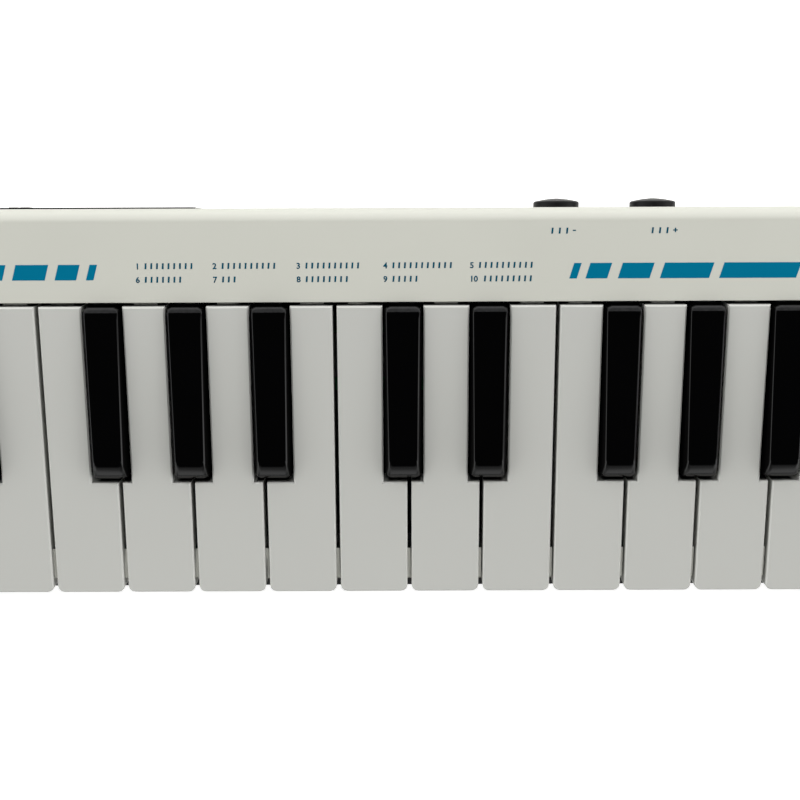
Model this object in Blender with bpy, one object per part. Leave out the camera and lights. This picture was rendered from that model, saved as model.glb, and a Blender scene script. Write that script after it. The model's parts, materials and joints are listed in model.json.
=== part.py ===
"""Electronic melodica with 37 keys, F to F, as separate pieces at real size.

Metres, +Z up. The instrument lies flat: X runs along the keyboard to the treble end, +Y points
to the rear face, and Z = 0 is the plane that it rests on. X = 0 is the middle of the keyboard.
"""
from math import cos, pi, radians, sin, tan

import bmesh
import bpy
from mathutils import Matrix, Vector

# Case
CASE_DEPTH = 0.1060          # at the top, front rail to rear edge
CASE_HEIGHT = 0.0332
WALL = 0.0022
SPLIT_HEIGHT = 0.0115        # where the upper case meets the lower case
REAR_LEAN = radians(7)       # the rear face leans in towards the base
CORNER_RADIUS = 0.0070       # case, seen from above
CORNER_STEPS = 4
EDGE_ROUND = 0.0034
BASE_ROUND = 0.0012
SEAT_GAP = 0.0003            # between pieces that rest on or fit in each other
PANEL_DEPTH = 0.02395        # control panel, front edge to rear edge
PANEL_LIP = 0.0024           # height of the panel's front edge
PANEL_LIP_WALL = 0.0022

# Front rail of the lower case
RAIL_HEIGHT = 0.0210
RAIL_DEPTH = 0.0111
RAIL_SLOPE = 0.00235         # run of the rail's sloping front edge
RAIL_SLOPE_FALL = 0.0006
FRONT_LIP = 0.00355          # how far the rail stands ahead of the keys

# Keyboard
WHITE_PITCH = 0.0190
WHITE_COUNT = 22
FIRST_WHITE = 3              # F, counted in the scale that starts at C
WHITE_GAP = 0.0011
END_GAP = 0.0003             # keyboard to the end blocks
PANEL_GAP = 0.0009           # key ends to the panel
KEY_TOP = 0.0340
KEY_DROP = 0.0080            # height of a key's skirt
KEY_SKIN = 0.0016
KEY_EDGE = 0.0004
KEY_CORNER = 0.0017
SIDE_RIB_START = 0.0034      # rib on a white key's right side, from the key's front end
SIDE_RIB_LENGTH = 0.0083
SIDE_RIB_WIDTH = 0.0008
SIDE_RIB_DROP = 0.0020       # below the key's top
BLACK_RISE = 0.0035          # top above the white tops, at the start of its front slope
BLACK_REAR_RISE = 0.0012     # and at its rear end: the top falls towards the panel
BLACK_WIDTH = 0.0095
BLACK_TOP_REAR = 0.00805      # width of the flat top at its rear end
BLACK_TOP_FRONT = 0.00705     # and at its front end
BLACK_LENGTH = 0.04512
BLACK_SLOPE = 0.0037         # run of the rounded slope at its front
BLACK_SLOPE_START = radians(20)
BLACK_SLOPE_END = radians(37)
BLACK_FRONT_LEAN = 0.0005    # run of the steep face below the slope
BLACK_REAR_RUN = 0.0015      # and of the rounded rear end
BLACK_REAR_FALL = 0.00055
BLACK_STEPS = 4              # outlines along the slope
BLACK_CORNER = 0.0012
BLACK_SHOULDER = 0.00025     # how far the flat top is drawn in on each side
BLACK_SKIN = 0.0010
BLACK_ROOF = 0.0012
BLACK_SIDE_GAP = 0.0005
BLACK_FRONT_GAP = 0.00178
# Sideways place of each black key against the line between its white neighbours, by the white
# key below it, counted from C
BLACK_SHIFT = {0: -0.00155, 1: 0.0016, 3: -0.0023, 4: 0.0, 5: 0.00235}

# Key hinge
PIVOT_BACK = 0.0098          # behind the rear end of the key tops
PIVOT_DROP = 0.0080          # below the key tops
ROD_RADIUS = 0.0015
ROD_CLEARANCE = 0.0003
EYE_WALL = 0.0015
EYE_MOUTH = radians(48)      # half angle of the snap mouth
TAIL_WIDTH = 0.0060
TAIL_THICKNESS = 0.0034
TAIL_DROP = 0.0038           # top of the tail below the key tops
TAIL_MEETS_EYE = (radians(100), radians(178))   # above and below the arm

# Key chassis and contacts
CHASSIS_FLOOR = 0.0125
CHASSIS_CLEARANCE = 0.0005   # to the end blocks
CHASSIS_FRONT_GAP = 0.0006   # to the front rail
CHASSIS_THICKNESS = 0.0018
CHASSIS_RAIL = 0.0040
RIB_THICKNESS = 0.0020
RIB_AHEAD = 0.0035           # reach of a rib ahead of the rod
RIB_BEHIND = 0.0018
FELT_THICKNESS = 0.0012
FELT_TOP = 0.0220
CONTACT_BACK = 0.0162        # contact line, ahead of the rear end of the key tops
BOARD_WIDTH = 0.0200
BOARD_THICKNESS = 0.0016
STRIP_WIDTH = 0.0120
STRIP_THICKNESS = 0.0012
DOME_HEIGHT = 0.0033
DOME_RADIUS = 0.0036
DOME_TOP_RADIUS = 0.0022
DOME_SIDES = 6
PUSHER_WIDTH = 0.0030
PUSHER_LENGTH = 0.0050

# Controls in the rear face
CONTROL_HEIGHT = 0.0198
PLATE_LEFT = -0.1900
PLATE_RIGHT = -0.0355
PLATE_WIDTH = 0.0150
PLATE_CORNER = 0.0012
PLATE_PROUD = 0.0004
PLATE_THICKNESS = 0.0013
PLATE_POCKET = 0.0012
WINDOW_LEFT = -0.1830
WINDOW_RIGHT = -0.0700
WINDOW_HEIGHT = 0.0104
OCTAVE_DOWN_X = 0.0574
OCTAVE_UP_X = 0.0825
OCTAVE_RADIUS = 0.0059
OCTAVE_PROUD = 0.00245
SLIDER_X = -0.0820
SLIDER_WIDTH = 0.0054
SLIDER_HEIGHT = 0.0030
SLIDER_TRAVEL = 0.0040
SLIDER_PROUD = 0.0007
WHEEL_X = -0.1120
WHEEL_RADIUS = 0.0060
WHEEL_WIDTH = 0.0030
WHEEL_PROUD = 0.0016
WHEEL_TEETH = 20
TONE_X = -0.1370
TONE_RADIUS = 0.0039
TONE_PROUD = 0.0016
BUTTON_TRAVEL = 0.0008
OCTAVE_RIM = 0.0014
TONE_RIM = 0.0009
FLANGE_THICKNESS = 0.0010
FLANGE_LEDGE = 0.0010
STEM_RADIUS = 0.0015
# A button's cap, from its rim to its middle: shares of the cap's radius and of its rise
CAP_SHAPE = ((1, 0), (0.975, 0.16), (0.92, 0.32), (0.5, 0.78), (0.12, 1))
SLIDER_FLANGE = 0.0010
SLIDER_GROOVE = 0.0006
SLIDER_ARM = 0.0016
WHEEL_TOOTH = 0.0003
WHEEL_SHAFT = 0.0010
WHEEL_SHAFT_LENGTH = 0.0020
USB_SHELL = 0.0004
JACK_BODY = 0.0074
USB_X = -0.1590
USB_WIDTH = 0.0089
USB_HEIGHT = 0.0033
USB_DEPTH = 0.0062
JACK_X = -0.1750
JACK_RADIUS = 0.0030
JACK_BORE = 0.0018
JACK_DEPTH = 0.0070
CONTROL_GAP = 0.0003         # around a control in its hole

# Main board, parallel to the rear face
MAIN_BOARD_LEFT = -0.1920
MAIN_BOARD_RIGHT = 0.1000
MAIN_BOARD_DEPTH = 0.0083    # board face behind the outer face of the rear wall
MAIN_BOARD_THICKNESS = 0.0012
MAIN_BOARD_TOP = 0.0045
SWITCH_SIZE = 0.0060
SWITCH_HEIGHT = 0.0014
CHIP_PLACES = (-0.010, 0.025)
CHIP_SIZE = 0.0080
CHIP_HEIGHT = 0.0010
CHIP_RAISED = 0.0040         # above the lower edge of the board

# Underside
RECESS_CENTRE = -0.0750
RECESS_LENGTH = 0.1300
RECESS_WIDTH = 0.0480
RECESS_DEPTH = 0.0100
STRAP_WIDTH = 0.0320
STRAP_THICKNESS = 0.0018
STRAP_LOW = 0.0006           # underside of the strap at its middle
STRAP_ENTRY = 0.0034         # underside of the strap where it enters its slots
STRAP_BEAD = 0.0036          # thickness of the sewn end behind each slot
STRAP_BEAD_WIDTH = 0.0340
STRAP_BEAD_LENGTH = 0.0022
STRAP_STATIONS = 8
SCREW_HEAD_HOLE = 0.0028
SCREW_HOLE_DEPTH = 0.0060
POST_RADIUS = 0.0040
POST_PLACES = ((-0.190, -0.031), (-0.190, 0.031), (0.010, -0.031), (0.010, 0.031),
               (0.190, -0.031), (0.190, 0.031))
BOSS_SIDE = 0.0157           # case screws, in from the ends
BOSS_FRONT = 0.0100          # and in from the front rail
BOSS_REAR = 0.0140           # and in from the rear edge

# Battery pack, speaker and breath parts
BATTERY_CENTRE = 0.0900
BATTERY_SIZE = (0.0700, 0.0340, 0.0085)
BATTERY_ROUND = 0.0012
SPEAKER_RADIUS = 0.0125
SPEAKER_CLEARANCE = 0.00115  # to the walls of the end block
MAGNET_RADIUS = 0.0069
MAGNET_HEIGHT = 0.0044
CONE_DEPTH = 0.0044
CONE_FLOOR_RADIUS = 0.0044
DUST_CAP_RADIUS = 0.0019
DUST_CAP_RISE = 0.0009
SPEAKER_Y = 0.0050
SPEAKER_HEIGHT = 0.0110
SPEAKER_RIM = 0.0020
GRILLE_SLOTS = 7
GRILLE_PITCH = 0.0032
GRILLE_SLOT = 0.0015
GRILLE_RADIUS = 0.0112
INLET_HEIGHT = 0.0210
SOCKET_RADIUS = 0.0070
SOCKET_FLANGE = 0.0095
SOCKET_PROUD = 0.0014
SOCKET_FLOOR = 0.0022
SPIGOT_RADIUS = 0.0049
SPIGOT_LENGTH = 0.0140
AIR_BORE = 0.0034
MOUTH_LENGTH = 0.0460
MOUTH_WIDTH = 0.0176
MOUTH_HEIGHT = 0.0092
MOUTH_BORE_WIDTH = 0.0110
MOUTH_BORE_HEIGHT = 0.0054
MOUTH_EDGE = 0.0009
WAIST = 0.0190               # narrowest place of the mouthpiece, from its collar
BITE_LENGTH = 0.0090         # flat end that goes between the lips
COLLAR_RADIUS = 0.0080
COLLAR_LENGTH = 0.0030
NECK_RADIUS = 0.0066
NIPPLE_RADIUS = 0.0018
NIPPLE_LENGTH = 0.0050
HOSE_RADIUS = 0.0022
# Route of the hose: first from the socket's nipple, then above the sensor's port
HOSE_STEPS = ((0, 0, 0), (0.0022, 0.0003, 0), (0.0042, 0.0025, 0.0003),
              (0.0047, 0.0070, 0.0012), (0.0030, 0.0130, 0.0022))
HOSE_DROP = ((0.0026, -0.0042, 0.0080), (0.0004, -0.0010, 0.0045), (0, 0, 0.0020), (0, 0, 0))
SENSOR_IN = 0.0160           # sensor, in from the left end
SENSOR_Y = 0.0225
SENSOR_BOARD = (0.0150, 0.0200, 0.0016)
SENSOR_BODY = (0.0100, 0.0060)   # side, height

# Places that follow from the sizes above
CASE_FRONT = -CASE_DEPTH / 2
CASE_REAR = CASE_DEPTH / 2
PANEL_FRONT = CASE_REAR - PANEL_DEPTH
KEY_FRONT = CASE_FRONT + FRONT_LIP
KEY_REAR = PANEL_FRONT - PANEL_GAP
KEY_BOTTOM = KEY_TOP - KEY_DROP
KEYBOARD_HALF = WHITE_PITCH * WHITE_COUNT / 2
BAY_HALF = KEYBOARD_HALF + END_GAP
END_BLOCK = 2 * (WALL + SPEAKER_CLEARANCE + SPEAKER_RADIUS)
CASE_END = BAY_HALF + END_BLOCK
SPEAKER_X = BAY_HALF + END_BLOCK / 2
CHASSIS_HALF = BAY_HALF - CHASSIS_CLEARANCE
CHASSIS_FRONT = CASE_FRONT + RAIL_DEPTH + CHASSIS_FRONT_GAP
PIVOT_Y = KEY_REAR + PIVOT_BACK
PIVOT_Z = KEY_TOP - PIVOT_DROP
EYE_BORE = ROD_RADIUS + ROD_CLEARANCE
EYE_RADIUS = EYE_BORE + EYE_WALL
CHASSIS_TOP = CHASSIS_FLOOR + CHASSIS_THICKNESS
CONTACT_Y = KEY_REAR - CONTACT_BACK
BOARD_TOP = CHASSIS_TOP + SEAT_GAP + BOARD_THICKNESS
STRIP_TOP = BOARD_TOP + SEAT_GAP + STRIP_THICKNESS
PUSHER_BOTTOM = STRIP_TOP + DOME_HEIGHT + SEAT_GAP
WHEEL_Y = WHEEL_PROUD - WHEEL_RADIUS        # in the rear frame
PLATE_BACK = PLATE_PROUD - PLATE_THICKNESS  # in the rear frame
THROUGH = 3 * WALL                          # how far a cutter runs past a wall
TOUCH = 1e-5                                # closer than this is the same place


def rear_face(height):
    """Y of the leaning rear face at a height."""
    return CASE_REAR - (CASE_HEIGHT - height) * tan(REAR_LEAN)


# Local axes of the rear face at the height of the controls: x along the case, y straight out of
# the face, z up along it.
REAR_FRAME = (Matrix.Translation((0, rear_face(CONTROL_HEIGHT), CONTROL_HEIGHT))
              @ Matrix.Rotation(-REAR_LEAN, 4, "X"))


def material(name, colour, roughness, metallic=0.0):
    """A Principled material, made once for each name."""
    made = bpy.data.materials.get(name)
    if made is None:
        made = bpy.data.materials.new(name)
        made.use_nodes = True
        shader = made.node_tree.nodes["Principled BSDF"]
        shader.inputs["Base Color"].default_value = (*colour, 1.0)
        shader.inputs["Roughness"].default_value = roughness
        shader.inputs["Metallic"].default_value = metallic
        made.diffuse_color = (*colour, 1.0)
    return made


def face_outwards(bm):
    """Turn the faces of a closed mesh so that they all point out."""
    bmesh.ops.recalc_face_normals(bm, faces=bm.faces)
    if bm.calc_volume(signed=True) < 0:
        bmesh.ops.reverse_faces(bm, faces=bm.faces)


def box(low, high):
    """A block between two corners."""
    bm = bmesh.new()
    low, high = Vector(low), Vector(high)
    place = Matrix.Translation((low + high) / 2) @ Matrix.Diagonal((*(high - low), 1))
    bmesh.ops.create_cube(bm, size=1, matrix=place)
    return bm


def lofted(rings, closed=False):
    """A solid through rings of equally many points; closed joins the last ring to the first."""
    bm = bmesh.new()
    loops = [[bm.verts.new(point) for point in ring] for ring in rings]
    for first, second in zip(loops, loops[1:] + loops[:1] if closed else loops[1:]):
        for i in range(len(first)):
            bm.faces.new((first[i - 1], first[i], second[i], second[i - 1]))
    if not closed:
        bm.faces.new(loops[0])
        bm.faces.new(loops[-1])
    face_outwards(bm)
    return bm


def prism(outline, travel):
    """A closed outline pushed along a vector."""
    start = [Vector(point) for point in outline]
    return lofted([start, [point + Vector(travel) for point in start]])


def circle(radius, height, sides):
    """Points around the local Z axis."""
    turns = [2 * pi * i / sides for i in range(sides)]
    return [Vector((radius * cos(turn), radius * sin(turn), height)) for turn in turns]


def turned(profile, sides, place=None):
    """A solid turned around local Z through (radius, height) pairs, from base to top."""
    bm = lofted([circle(radius, height, sides) for radius, height in profile])
    bm.transform(place or Matrix.Identity(4))
    return bm


def rod(radius, low, high, sides, place):
    """A round bar between two heights of local Z."""
    return turned([(radius, low), (radius, high)], sides, place)


def upright(x, y, z=0.0):
    """Place for a turned piece that stands up."""
    return Matrix.Translation((x, y, z))


def out_of_rear(x):
    """Place, in the rear frame, for a turned piece whose axis points out of the rear face."""
    return Matrix.Translation((x, 0, 0)) @ Matrix.Rotation(-pi / 2, 4, "X")


def rectangle(x0, y0, x1, y1, z, radius, steps):
    """Rectangle in plan with round corners, anticlockwise."""
    points = []
    corners = ((x1, y0, -90), (x1, y1, 0), (x0, y1, 90), (x0, y0, 180))
    for x, y, start in corners:
        centre_x = x - radius if x == x1 else x + radius
        centre_y = y - radius if y == y1 else y + radius
        for step in range(steps + 1):
            turn = radians(start + 90 * step / steps)
            points.append(Vector((centre_x + radius * cos(turn),
                                  centre_y + radius * sin(turn), z)))
    return points


def plate_outline(depth, grown=0.0):
    """Outline of the rear plate in the rear frame, at a depth along local y."""
    half = PLATE_WIDTH / 2 + grown
    flat = rectangle(PLATE_LEFT - grown, -half, PLATE_RIGHT + grown, half, 0,
                     PLATE_CORNER + grown, 3)
    return [Vector((point.x, depth, point.y)) for point in flat]


def case_block(low, high, inset):
    """The case's outer shape between two heights, drawn in by inset."""
    rings = []
    for height in (low, high):
        rings.append(rectangle(-CASE_END + inset, CASE_FRONT + inset, CASE_END - inset,
                               rear_face(height) - inset, height, CORNER_RADIUS - inset,
                               CORNER_STEPS))
    return lofted(rings)


def gathered(shapes):
    """Several separate solids as one mesh."""
    bm = bmesh.new()
    for shape in shapes:
        mesh = bpy.data.meshes.new("gathered")
        shape.to_mesh(mesh)
        shape.free()
        bm.from_mesh(mesh)
        bpy.data.meshes.remove(mesh)
    return bm


def combined(body, tool, operation):
    """Body with the tool cut out of it or joined to it, with an exact Boolean."""
    holders = []
    for shape in (body, tool):
        mesh = bpy.data.meshes.new("shape")
        face_outwards(shape)
        shape.to_mesh(mesh)
        shape.free()
        holder = bpy.data.objects.new("shape", mesh)
        bpy.context.scene.collection.objects.link(holder)
        holders.append(holder)
    modifier = holders[0].modifiers.new("boolean", "BOOLEAN")
    modifier.operation = operation
    modifier.solver = "EXACT"
    modifier.object = holders[1]
    evaluated = holders[0].evaluated_get(bpy.context.evaluated_depsgraph_get())
    result = bmesh.new()
    result.from_mesh(evaluated.to_mesh())
    evaluated.to_mesh_clear()
    for holder in holders:
        mesh = holder.data
        bpy.data.objects.remove(holder)
        bpy.data.meshes.remove(mesh)
    bmesh.ops.dissolve_limit(result, angle_limit=radians(0.05), verts=result.verts,
                             edges=result.edges)
    return result


def cut(body, *tools):
    """Body less the tools."""
    return combined(body, gathered(tools), "DIFFERENCE")


def joined(body, *tools):
    """Body and tools as one solid."""
    return combined(body, gathered(tools), "UNION")


def level_edges(bm, height):
    """Edges that lie at a height."""
    return [edge for edge in bm.edges
            if all(abs(vert.co.z - height) < TOUCH for vert in edge.verts)]


def rounded(bm, edges, radius, segments):
    """Edges rounded off."""
    bmesh.ops.bevel(bm, geom=edges, offset=radius, offset_type="OFFSET", segments=segments,
                    profile=0.5, affect="EDGES", material=-1, clamp_overlap=True)
    return bm


def piece(name, bm, finish, parent=None, origin=(0, 0, 0), round_piece=False):
    """A named object whose origin is at the given place of its parent's frame."""
    bmesh.ops.translate(bm, vec=-Vector(origin), verts=bm.verts)
    face_outwards(bm)
    mesh = bpy.data.meshes.new(name)
    bm.to_mesh(mesh)
    bm.free()
    mesh.materials.append(finish)
    if round_piece:
        mesh.shade_smooth()
        mesh.set_sharp_from_angle(angle=radians(35))
    made = bpy.data.objects.new(name, mesh)
    bpy.context.scene.collection.objects.link(made)
    made.location = origin
    made.parent = parent
    return made


def boundary(index):
    """X of the line to the left of a white key, counted from 0."""
    return (index - WHITE_COUNT / 2) * WHITE_PITCH


def black_after(index):
    """X of the black key above the right side of a white key, or None."""
    shift = BLACK_SHIFT.get((index + FIRST_WHITE) % 7)
    if shift is None or not 0 <= index < WHITE_COUNT - 1:
        return None
    return boundary(index + 1) + shift


def white_sides(index):
    """Left and right side of a white key at its wide front and at its narrow rear."""
    left = boundary(index) + WHITE_GAP / 2
    right = boundary(index + 1) - WHITE_GAP / 2
    notch = BLACK_WIDTH / 2 + BLACK_SIDE_GAP
    before, after = black_after(index - 1), black_after(index)
    rear_left = left if before is None else before + notch
    rear_right = right if after is None else after - notch
    return left, right, rear_left, rear_right


def key_rows():
    """Every key in order of pitch: name, kind, index of its white key, lane centre."""
    rows = []
    white, black = 0, 0
    for index in range(WHITE_COUNT):
        left, right, rear_left, rear_right = white_sides(index)
        white += 1
        rows.append((f"white_key_{white:02d}", "white", index, (rear_left + rear_right) / 2))
        centre = black_after(index)
        if centre is not None:
            black += 1
            rows.append((f"black_key_{black:02d}", "black", index, centre))
    return rows


def hollowed(bm, bottom, skin, roof):
    """A solid opened from below: its bottom face is drawn in by skin and pushed up to roof."""
    floor = [face for face in bm.faces
             if all(abs(vert.co.z - bottom) < TOUCH for vert in face.verts)]
    bmesh.ops.inset_region(bm, faces=floor, thickness=skin, use_even_offset=True)
    pushed = bmesh.ops.extrude_face_region(bm, geom=floor)["geom"]
    verts = [item for item in pushed if isinstance(item, bmesh.types.BMVert)]
    bmesh.ops.translate(bm, vec=(0, 0, roof - bottom), verts=verts)
    bmesh.ops.delete(bm, geom=[face for face in floor if face.is_valid], context="FACES")
    face_outwards(bm)
    return bm


def arc(radius, start, end, steps, x):
    """Points around the pivot in the YZ plane, angles from +Y towards +Z."""
    turns = [start + (end - start) * step / steps for step in range(steps + 1)]
    return [Vector((x, PIVOT_Y + radius * cos(turn), PIVOT_Z + radius * sin(turn)))
            for turn in turns]


def key_tail(centre):
    """Arm that reaches back from a key, with the snap eye that holds the rod."""
    x = centre - TAIL_WIDTH / 2
    start = KEY_REAR - KEY_SKIN / 2
    top = KEY_TOP - TAIL_DROP
    mouth_low = radians(-90) + EYE_MOUTH
    mouth_high = radians(270) - EYE_MOUTH
    outline = [Vector((x, start, top - TAIL_THICKNESS)), Vector((x, start, top))]
    above, below = TAIL_MEETS_EYE
    outline += arc(EYE_RADIUS, above, mouth_low, 4, x)
    outline += arc(EYE_BORE, mouth_low, mouth_high, 7, x)
    outline += arc(EYE_RADIUS, mouth_high, below, 1, x)
    return prism(outline, (TAIL_WIDTH, 0, 0))


def pusher(centre, roof):
    """Rib under a key's roof that presses the dome."""
    return box((centre - PUSHER_WIDTH / 2, CONTACT_Y - PUSHER_LENGTH / 2, PUSHER_BOTTOM),
               (centre + PUSHER_WIDTH / 2, CONTACT_Y + PUSHER_LENGTH / 2, roof + KEY_SKIN / 2))


def side_rib(right):
    """Rib on a white key's right side. It guides the next key and closes the gap to it."""
    front = KEY_FRONT + SIDE_RIB_START
    return box((right - KEY_SKIN / 2, front, KEY_BOTTOM + KEY_EDGE),
               (right + SIDE_RIB_WIDTH, front + SIDE_RIB_LENGTH, KEY_TOP - SIDE_RIB_DROP))


def white_key(index, centre):
    """Hollow white key, notched for its black neighbours."""
    left, right, rear_left, rear_right = white_sides(index)
    notch_line = KEY_REAR - BLACK_LENGTH - BLACK_FRONT_GAP
    plan = [(left + KEY_CORNER, KEY_FRONT), (right - KEY_CORNER, KEY_FRONT)]
    corner = [radians(-60), radians(-30)]
    plan += [(right - KEY_CORNER * (1 - cos(turn)), KEY_FRONT + KEY_CORNER * (1 + sin(turn)))
             for turn in corner]
    plan.append((right, KEY_FRONT + KEY_CORNER))
    if rear_right < right:
        plan += [(right, notch_line), (rear_right, notch_line)]
    plan += [(rear_right, KEY_REAR), (rear_left, KEY_REAR)]
    if rear_left > left:
        plan += [(rear_left, notch_line), (left, notch_line)]
    plan.append((left, KEY_FRONT + KEY_CORNER))
    plan += [(left + KEY_CORNER * (1 - cos(turn)), KEY_FRONT + KEY_CORNER * (1 + sin(turn)))
             for turn in reversed(corner)]
    bm = prism([(x, y, KEY_BOTTOM) for x, y in plan], (0, 0, KEY_DROP))
    rounded(bm, level_edges(bm, KEY_TOP), KEY_EDGE, 1)
    roof = KEY_TOP - KEY_SKIN
    hollowed(bm, KEY_BOTTOM, KEY_SKIN, roof)
    inner = [key_tail(centre), pusher(centre, roof)]
    if index < WHITE_COUNT - 1:
        inner.append(side_rib(right))
    return joined(bm, *inner)


def keystone(centre, halves, ends, heights):
    """Outline of a black key. Each pair holds the value at its front end and at its rear end."""
    front, rear = ends
    outline = rectangle(centre - halves[1], front, centre + halves[1], rear, 0, BLACK_CORNER, 2)
    for point in outline:
        back = (point.y - front) / (rear - front)
        half = halves[0] + (halves[1] - halves[0]) * back
        point.x = centre + (point.x - centre) * half / halves[1]
        point.z = heights[0] + (heights[1] - heights[0]) * back
    return outline


def black_rings():
    """Outlines of a black key from its base up: half widths, ends and heights. The front is a
    steep face with a rounded slope above it, and the rear end is a quarter of an ellipse."""
    front = KEY_REAR - BLACK_LENGTH
    half = BLACK_WIDTH / 2
    rings = [((half, half), (front, KEY_REAR), (KEY_BOTTOM, KEY_BOTTOM)),
             ((half, half), (front, KEY_REAR), (KEY_TOP, KEY_TOP))]
    first, last = tan(BLACK_SLOPE_START), tan(BLACK_SLOPE_END)
    for step in range(BLACK_STEPS + 1):
        along = 1 - step / BLACK_STEPS
        fall = BLACK_SLOPE * (first * along + (last - first) / 2 * along ** 2)
        climb = 1 - fall / BLACK_RISE
        shoulder = 0 if step == BLACK_STEPS else BLACK_SHOULDER
        halves = [half + climb * (top / 2 + shoulder - half) for top in (BLACK_TOP_FRONT,
                                                                         BLACK_TOP_REAR)]
        bend = max(0, 1 - BLACK_REAR_RISE * (1 - climb) / BLACK_REAR_FALL)
        ends = (front + BLACK_FRONT_LEAN + BLACK_SLOPE * (1 - along),
                KEY_REAR - BLACK_REAR_RUN * (1 - (1 - bend ** 2) ** 0.5))
        rings.append((halves, ends, (KEY_TOP + BLACK_RISE * climb,
                                     KEY_TOP + BLACK_REAR_RISE * climb)))
    return rings


def black_key(centre):
    """Hollow black key with drawn-in sides, rounded ends and a top that falls to the rear."""
    bm = lofted([keystone(centre, *ring) for ring in black_rings()])
    roof = KEY_TOP + BLACK_REAR_RISE - BLACK_ROOF
    hollowed(bm, KEY_BOTTOM, BLACK_SKIN, roof)
    return joined(bm, key_tail(centre), pusher(centre, roof))


def keys(finish_white, finish_black):
    """All keys, each with its origin on the pivot line."""
    for name, kind, index, centre in key_rows():
        if kind == "white":
            shape, finish = white_key(index, centre), finish_white
        else:
            shape, finish = black_key(centre), finish_black
        piece(name, shape, finish, origin=(centre, PIVOT_Y, PIVOT_Z))


def case_screws():
    """Places of the screws that close the case."""
    x = CASE_END - BOSS_SIDE
    return [(side * x, y) for side in (-1, 1)
            for y in (CASE_FRONT + BOSS_FRONT, CASE_REAR - BOSS_REAR)]


def upper_case(finish):
    """Control panel, end blocks and rear wall in one shell."""
    shell = case_block(SPLIT_HEIGHT, CASE_HEIGHT, 0)
    rounded(shell, level_edges(shell, CASE_HEIGHT), EDGE_ROUND, 3)
    roof = CASE_HEIGHT - WALL
    below = SPLIT_HEIGHT - THROUGH
    solid_bay = box((-BAY_HALF - WALL, CASE_FRONT - THROUGH, below - THROUGH),
                    (BAY_HALF + WALL, PANEL_FRONT + PANEL_LIP_WALL, CASE_HEIGHT))
    hollow = cut(case_block(below, roof, WALL), solid_bay)
    bay = box((-BAY_HALF, CASE_FRONT - THROUGH, below),
              (BAY_HALF, PANEL_FRONT, CASE_HEIGHT + THROUGH))
    passage = box((-BAY_HALF, PANEL_FRONT - WALL, below),
                  (BAY_HALF, PANEL_FRONT + PANEL_LIP_WALL + WALL, CASE_HEIGHT - PANEL_LIP))
    shell = cut(cut(cut(shell, hollow), bay), passage)
    bosses = [rod(POST_RADIUS, SPLIT_HEIGHT + SEAT_GAP, roof + WALL / 2, 10, upright(x, y))
              for x, y in case_screws()]
    shell = joined(shell, *bosses)

    pocket = prism(plate_outline(-PLATE_POCKET, CONTROL_GAP), (0, THROUGH, 0))
    window = box((WINDOW_LEFT, -THROUGH, -WINDOW_HEIGHT / 2),
                 (WINDOW_RIGHT, THROUGH, WINDOW_HEIGHT / 2))
    holes = [rod(OCTAVE_RADIUS + CONTROL_GAP, -THROUGH, THROUGH, 20, out_of_rear(x))
             for x in (OCTAVE_DOWN_X, OCTAVE_UP_X)]
    for opening in (pocket, window, *holes):
        opening.transform(REAR_FRAME)
    shell = cut(cut(shell, pocket, *holes), window)

    inlet = rod(SOCKET_RADIUS + CONTROL_GAP, -THROUGH, THROUGH, 20, inlet_place())
    piece("upper_case", cut(shell, inlet, *grille_slots()), finish)


def grille_slots():
    """Cutters for the speaker's slots, which together fill a circle."""
    slots = []
    for slot in range(GRILLE_SLOTS):
        offset = (slot - (GRILLE_SLOTS - 1) / 2) * GRILLE_PITCH
        reach = (GRILLE_RADIUS ** 2 - offset ** 2) ** 0.5
        x = SPEAKER_X + offset
        slots.append(box((x - GRILLE_SLOT / 2, SPEAKER_Y - reach, CASE_HEIGHT - THROUGH),
                         (x + GRILLE_SLOT / 2, SPEAKER_Y + reach, CASE_HEIGHT + THROUGH)))
    return slots


def inlet_place():
    """Place for a turned piece on the inlet's axis: local z points out of the left end."""
    return Matrix.Translation((-CASE_END, 0, INLET_HEIGHT)) @ Matrix.Rotation(-pi / 2, 4, "Y")


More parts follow.
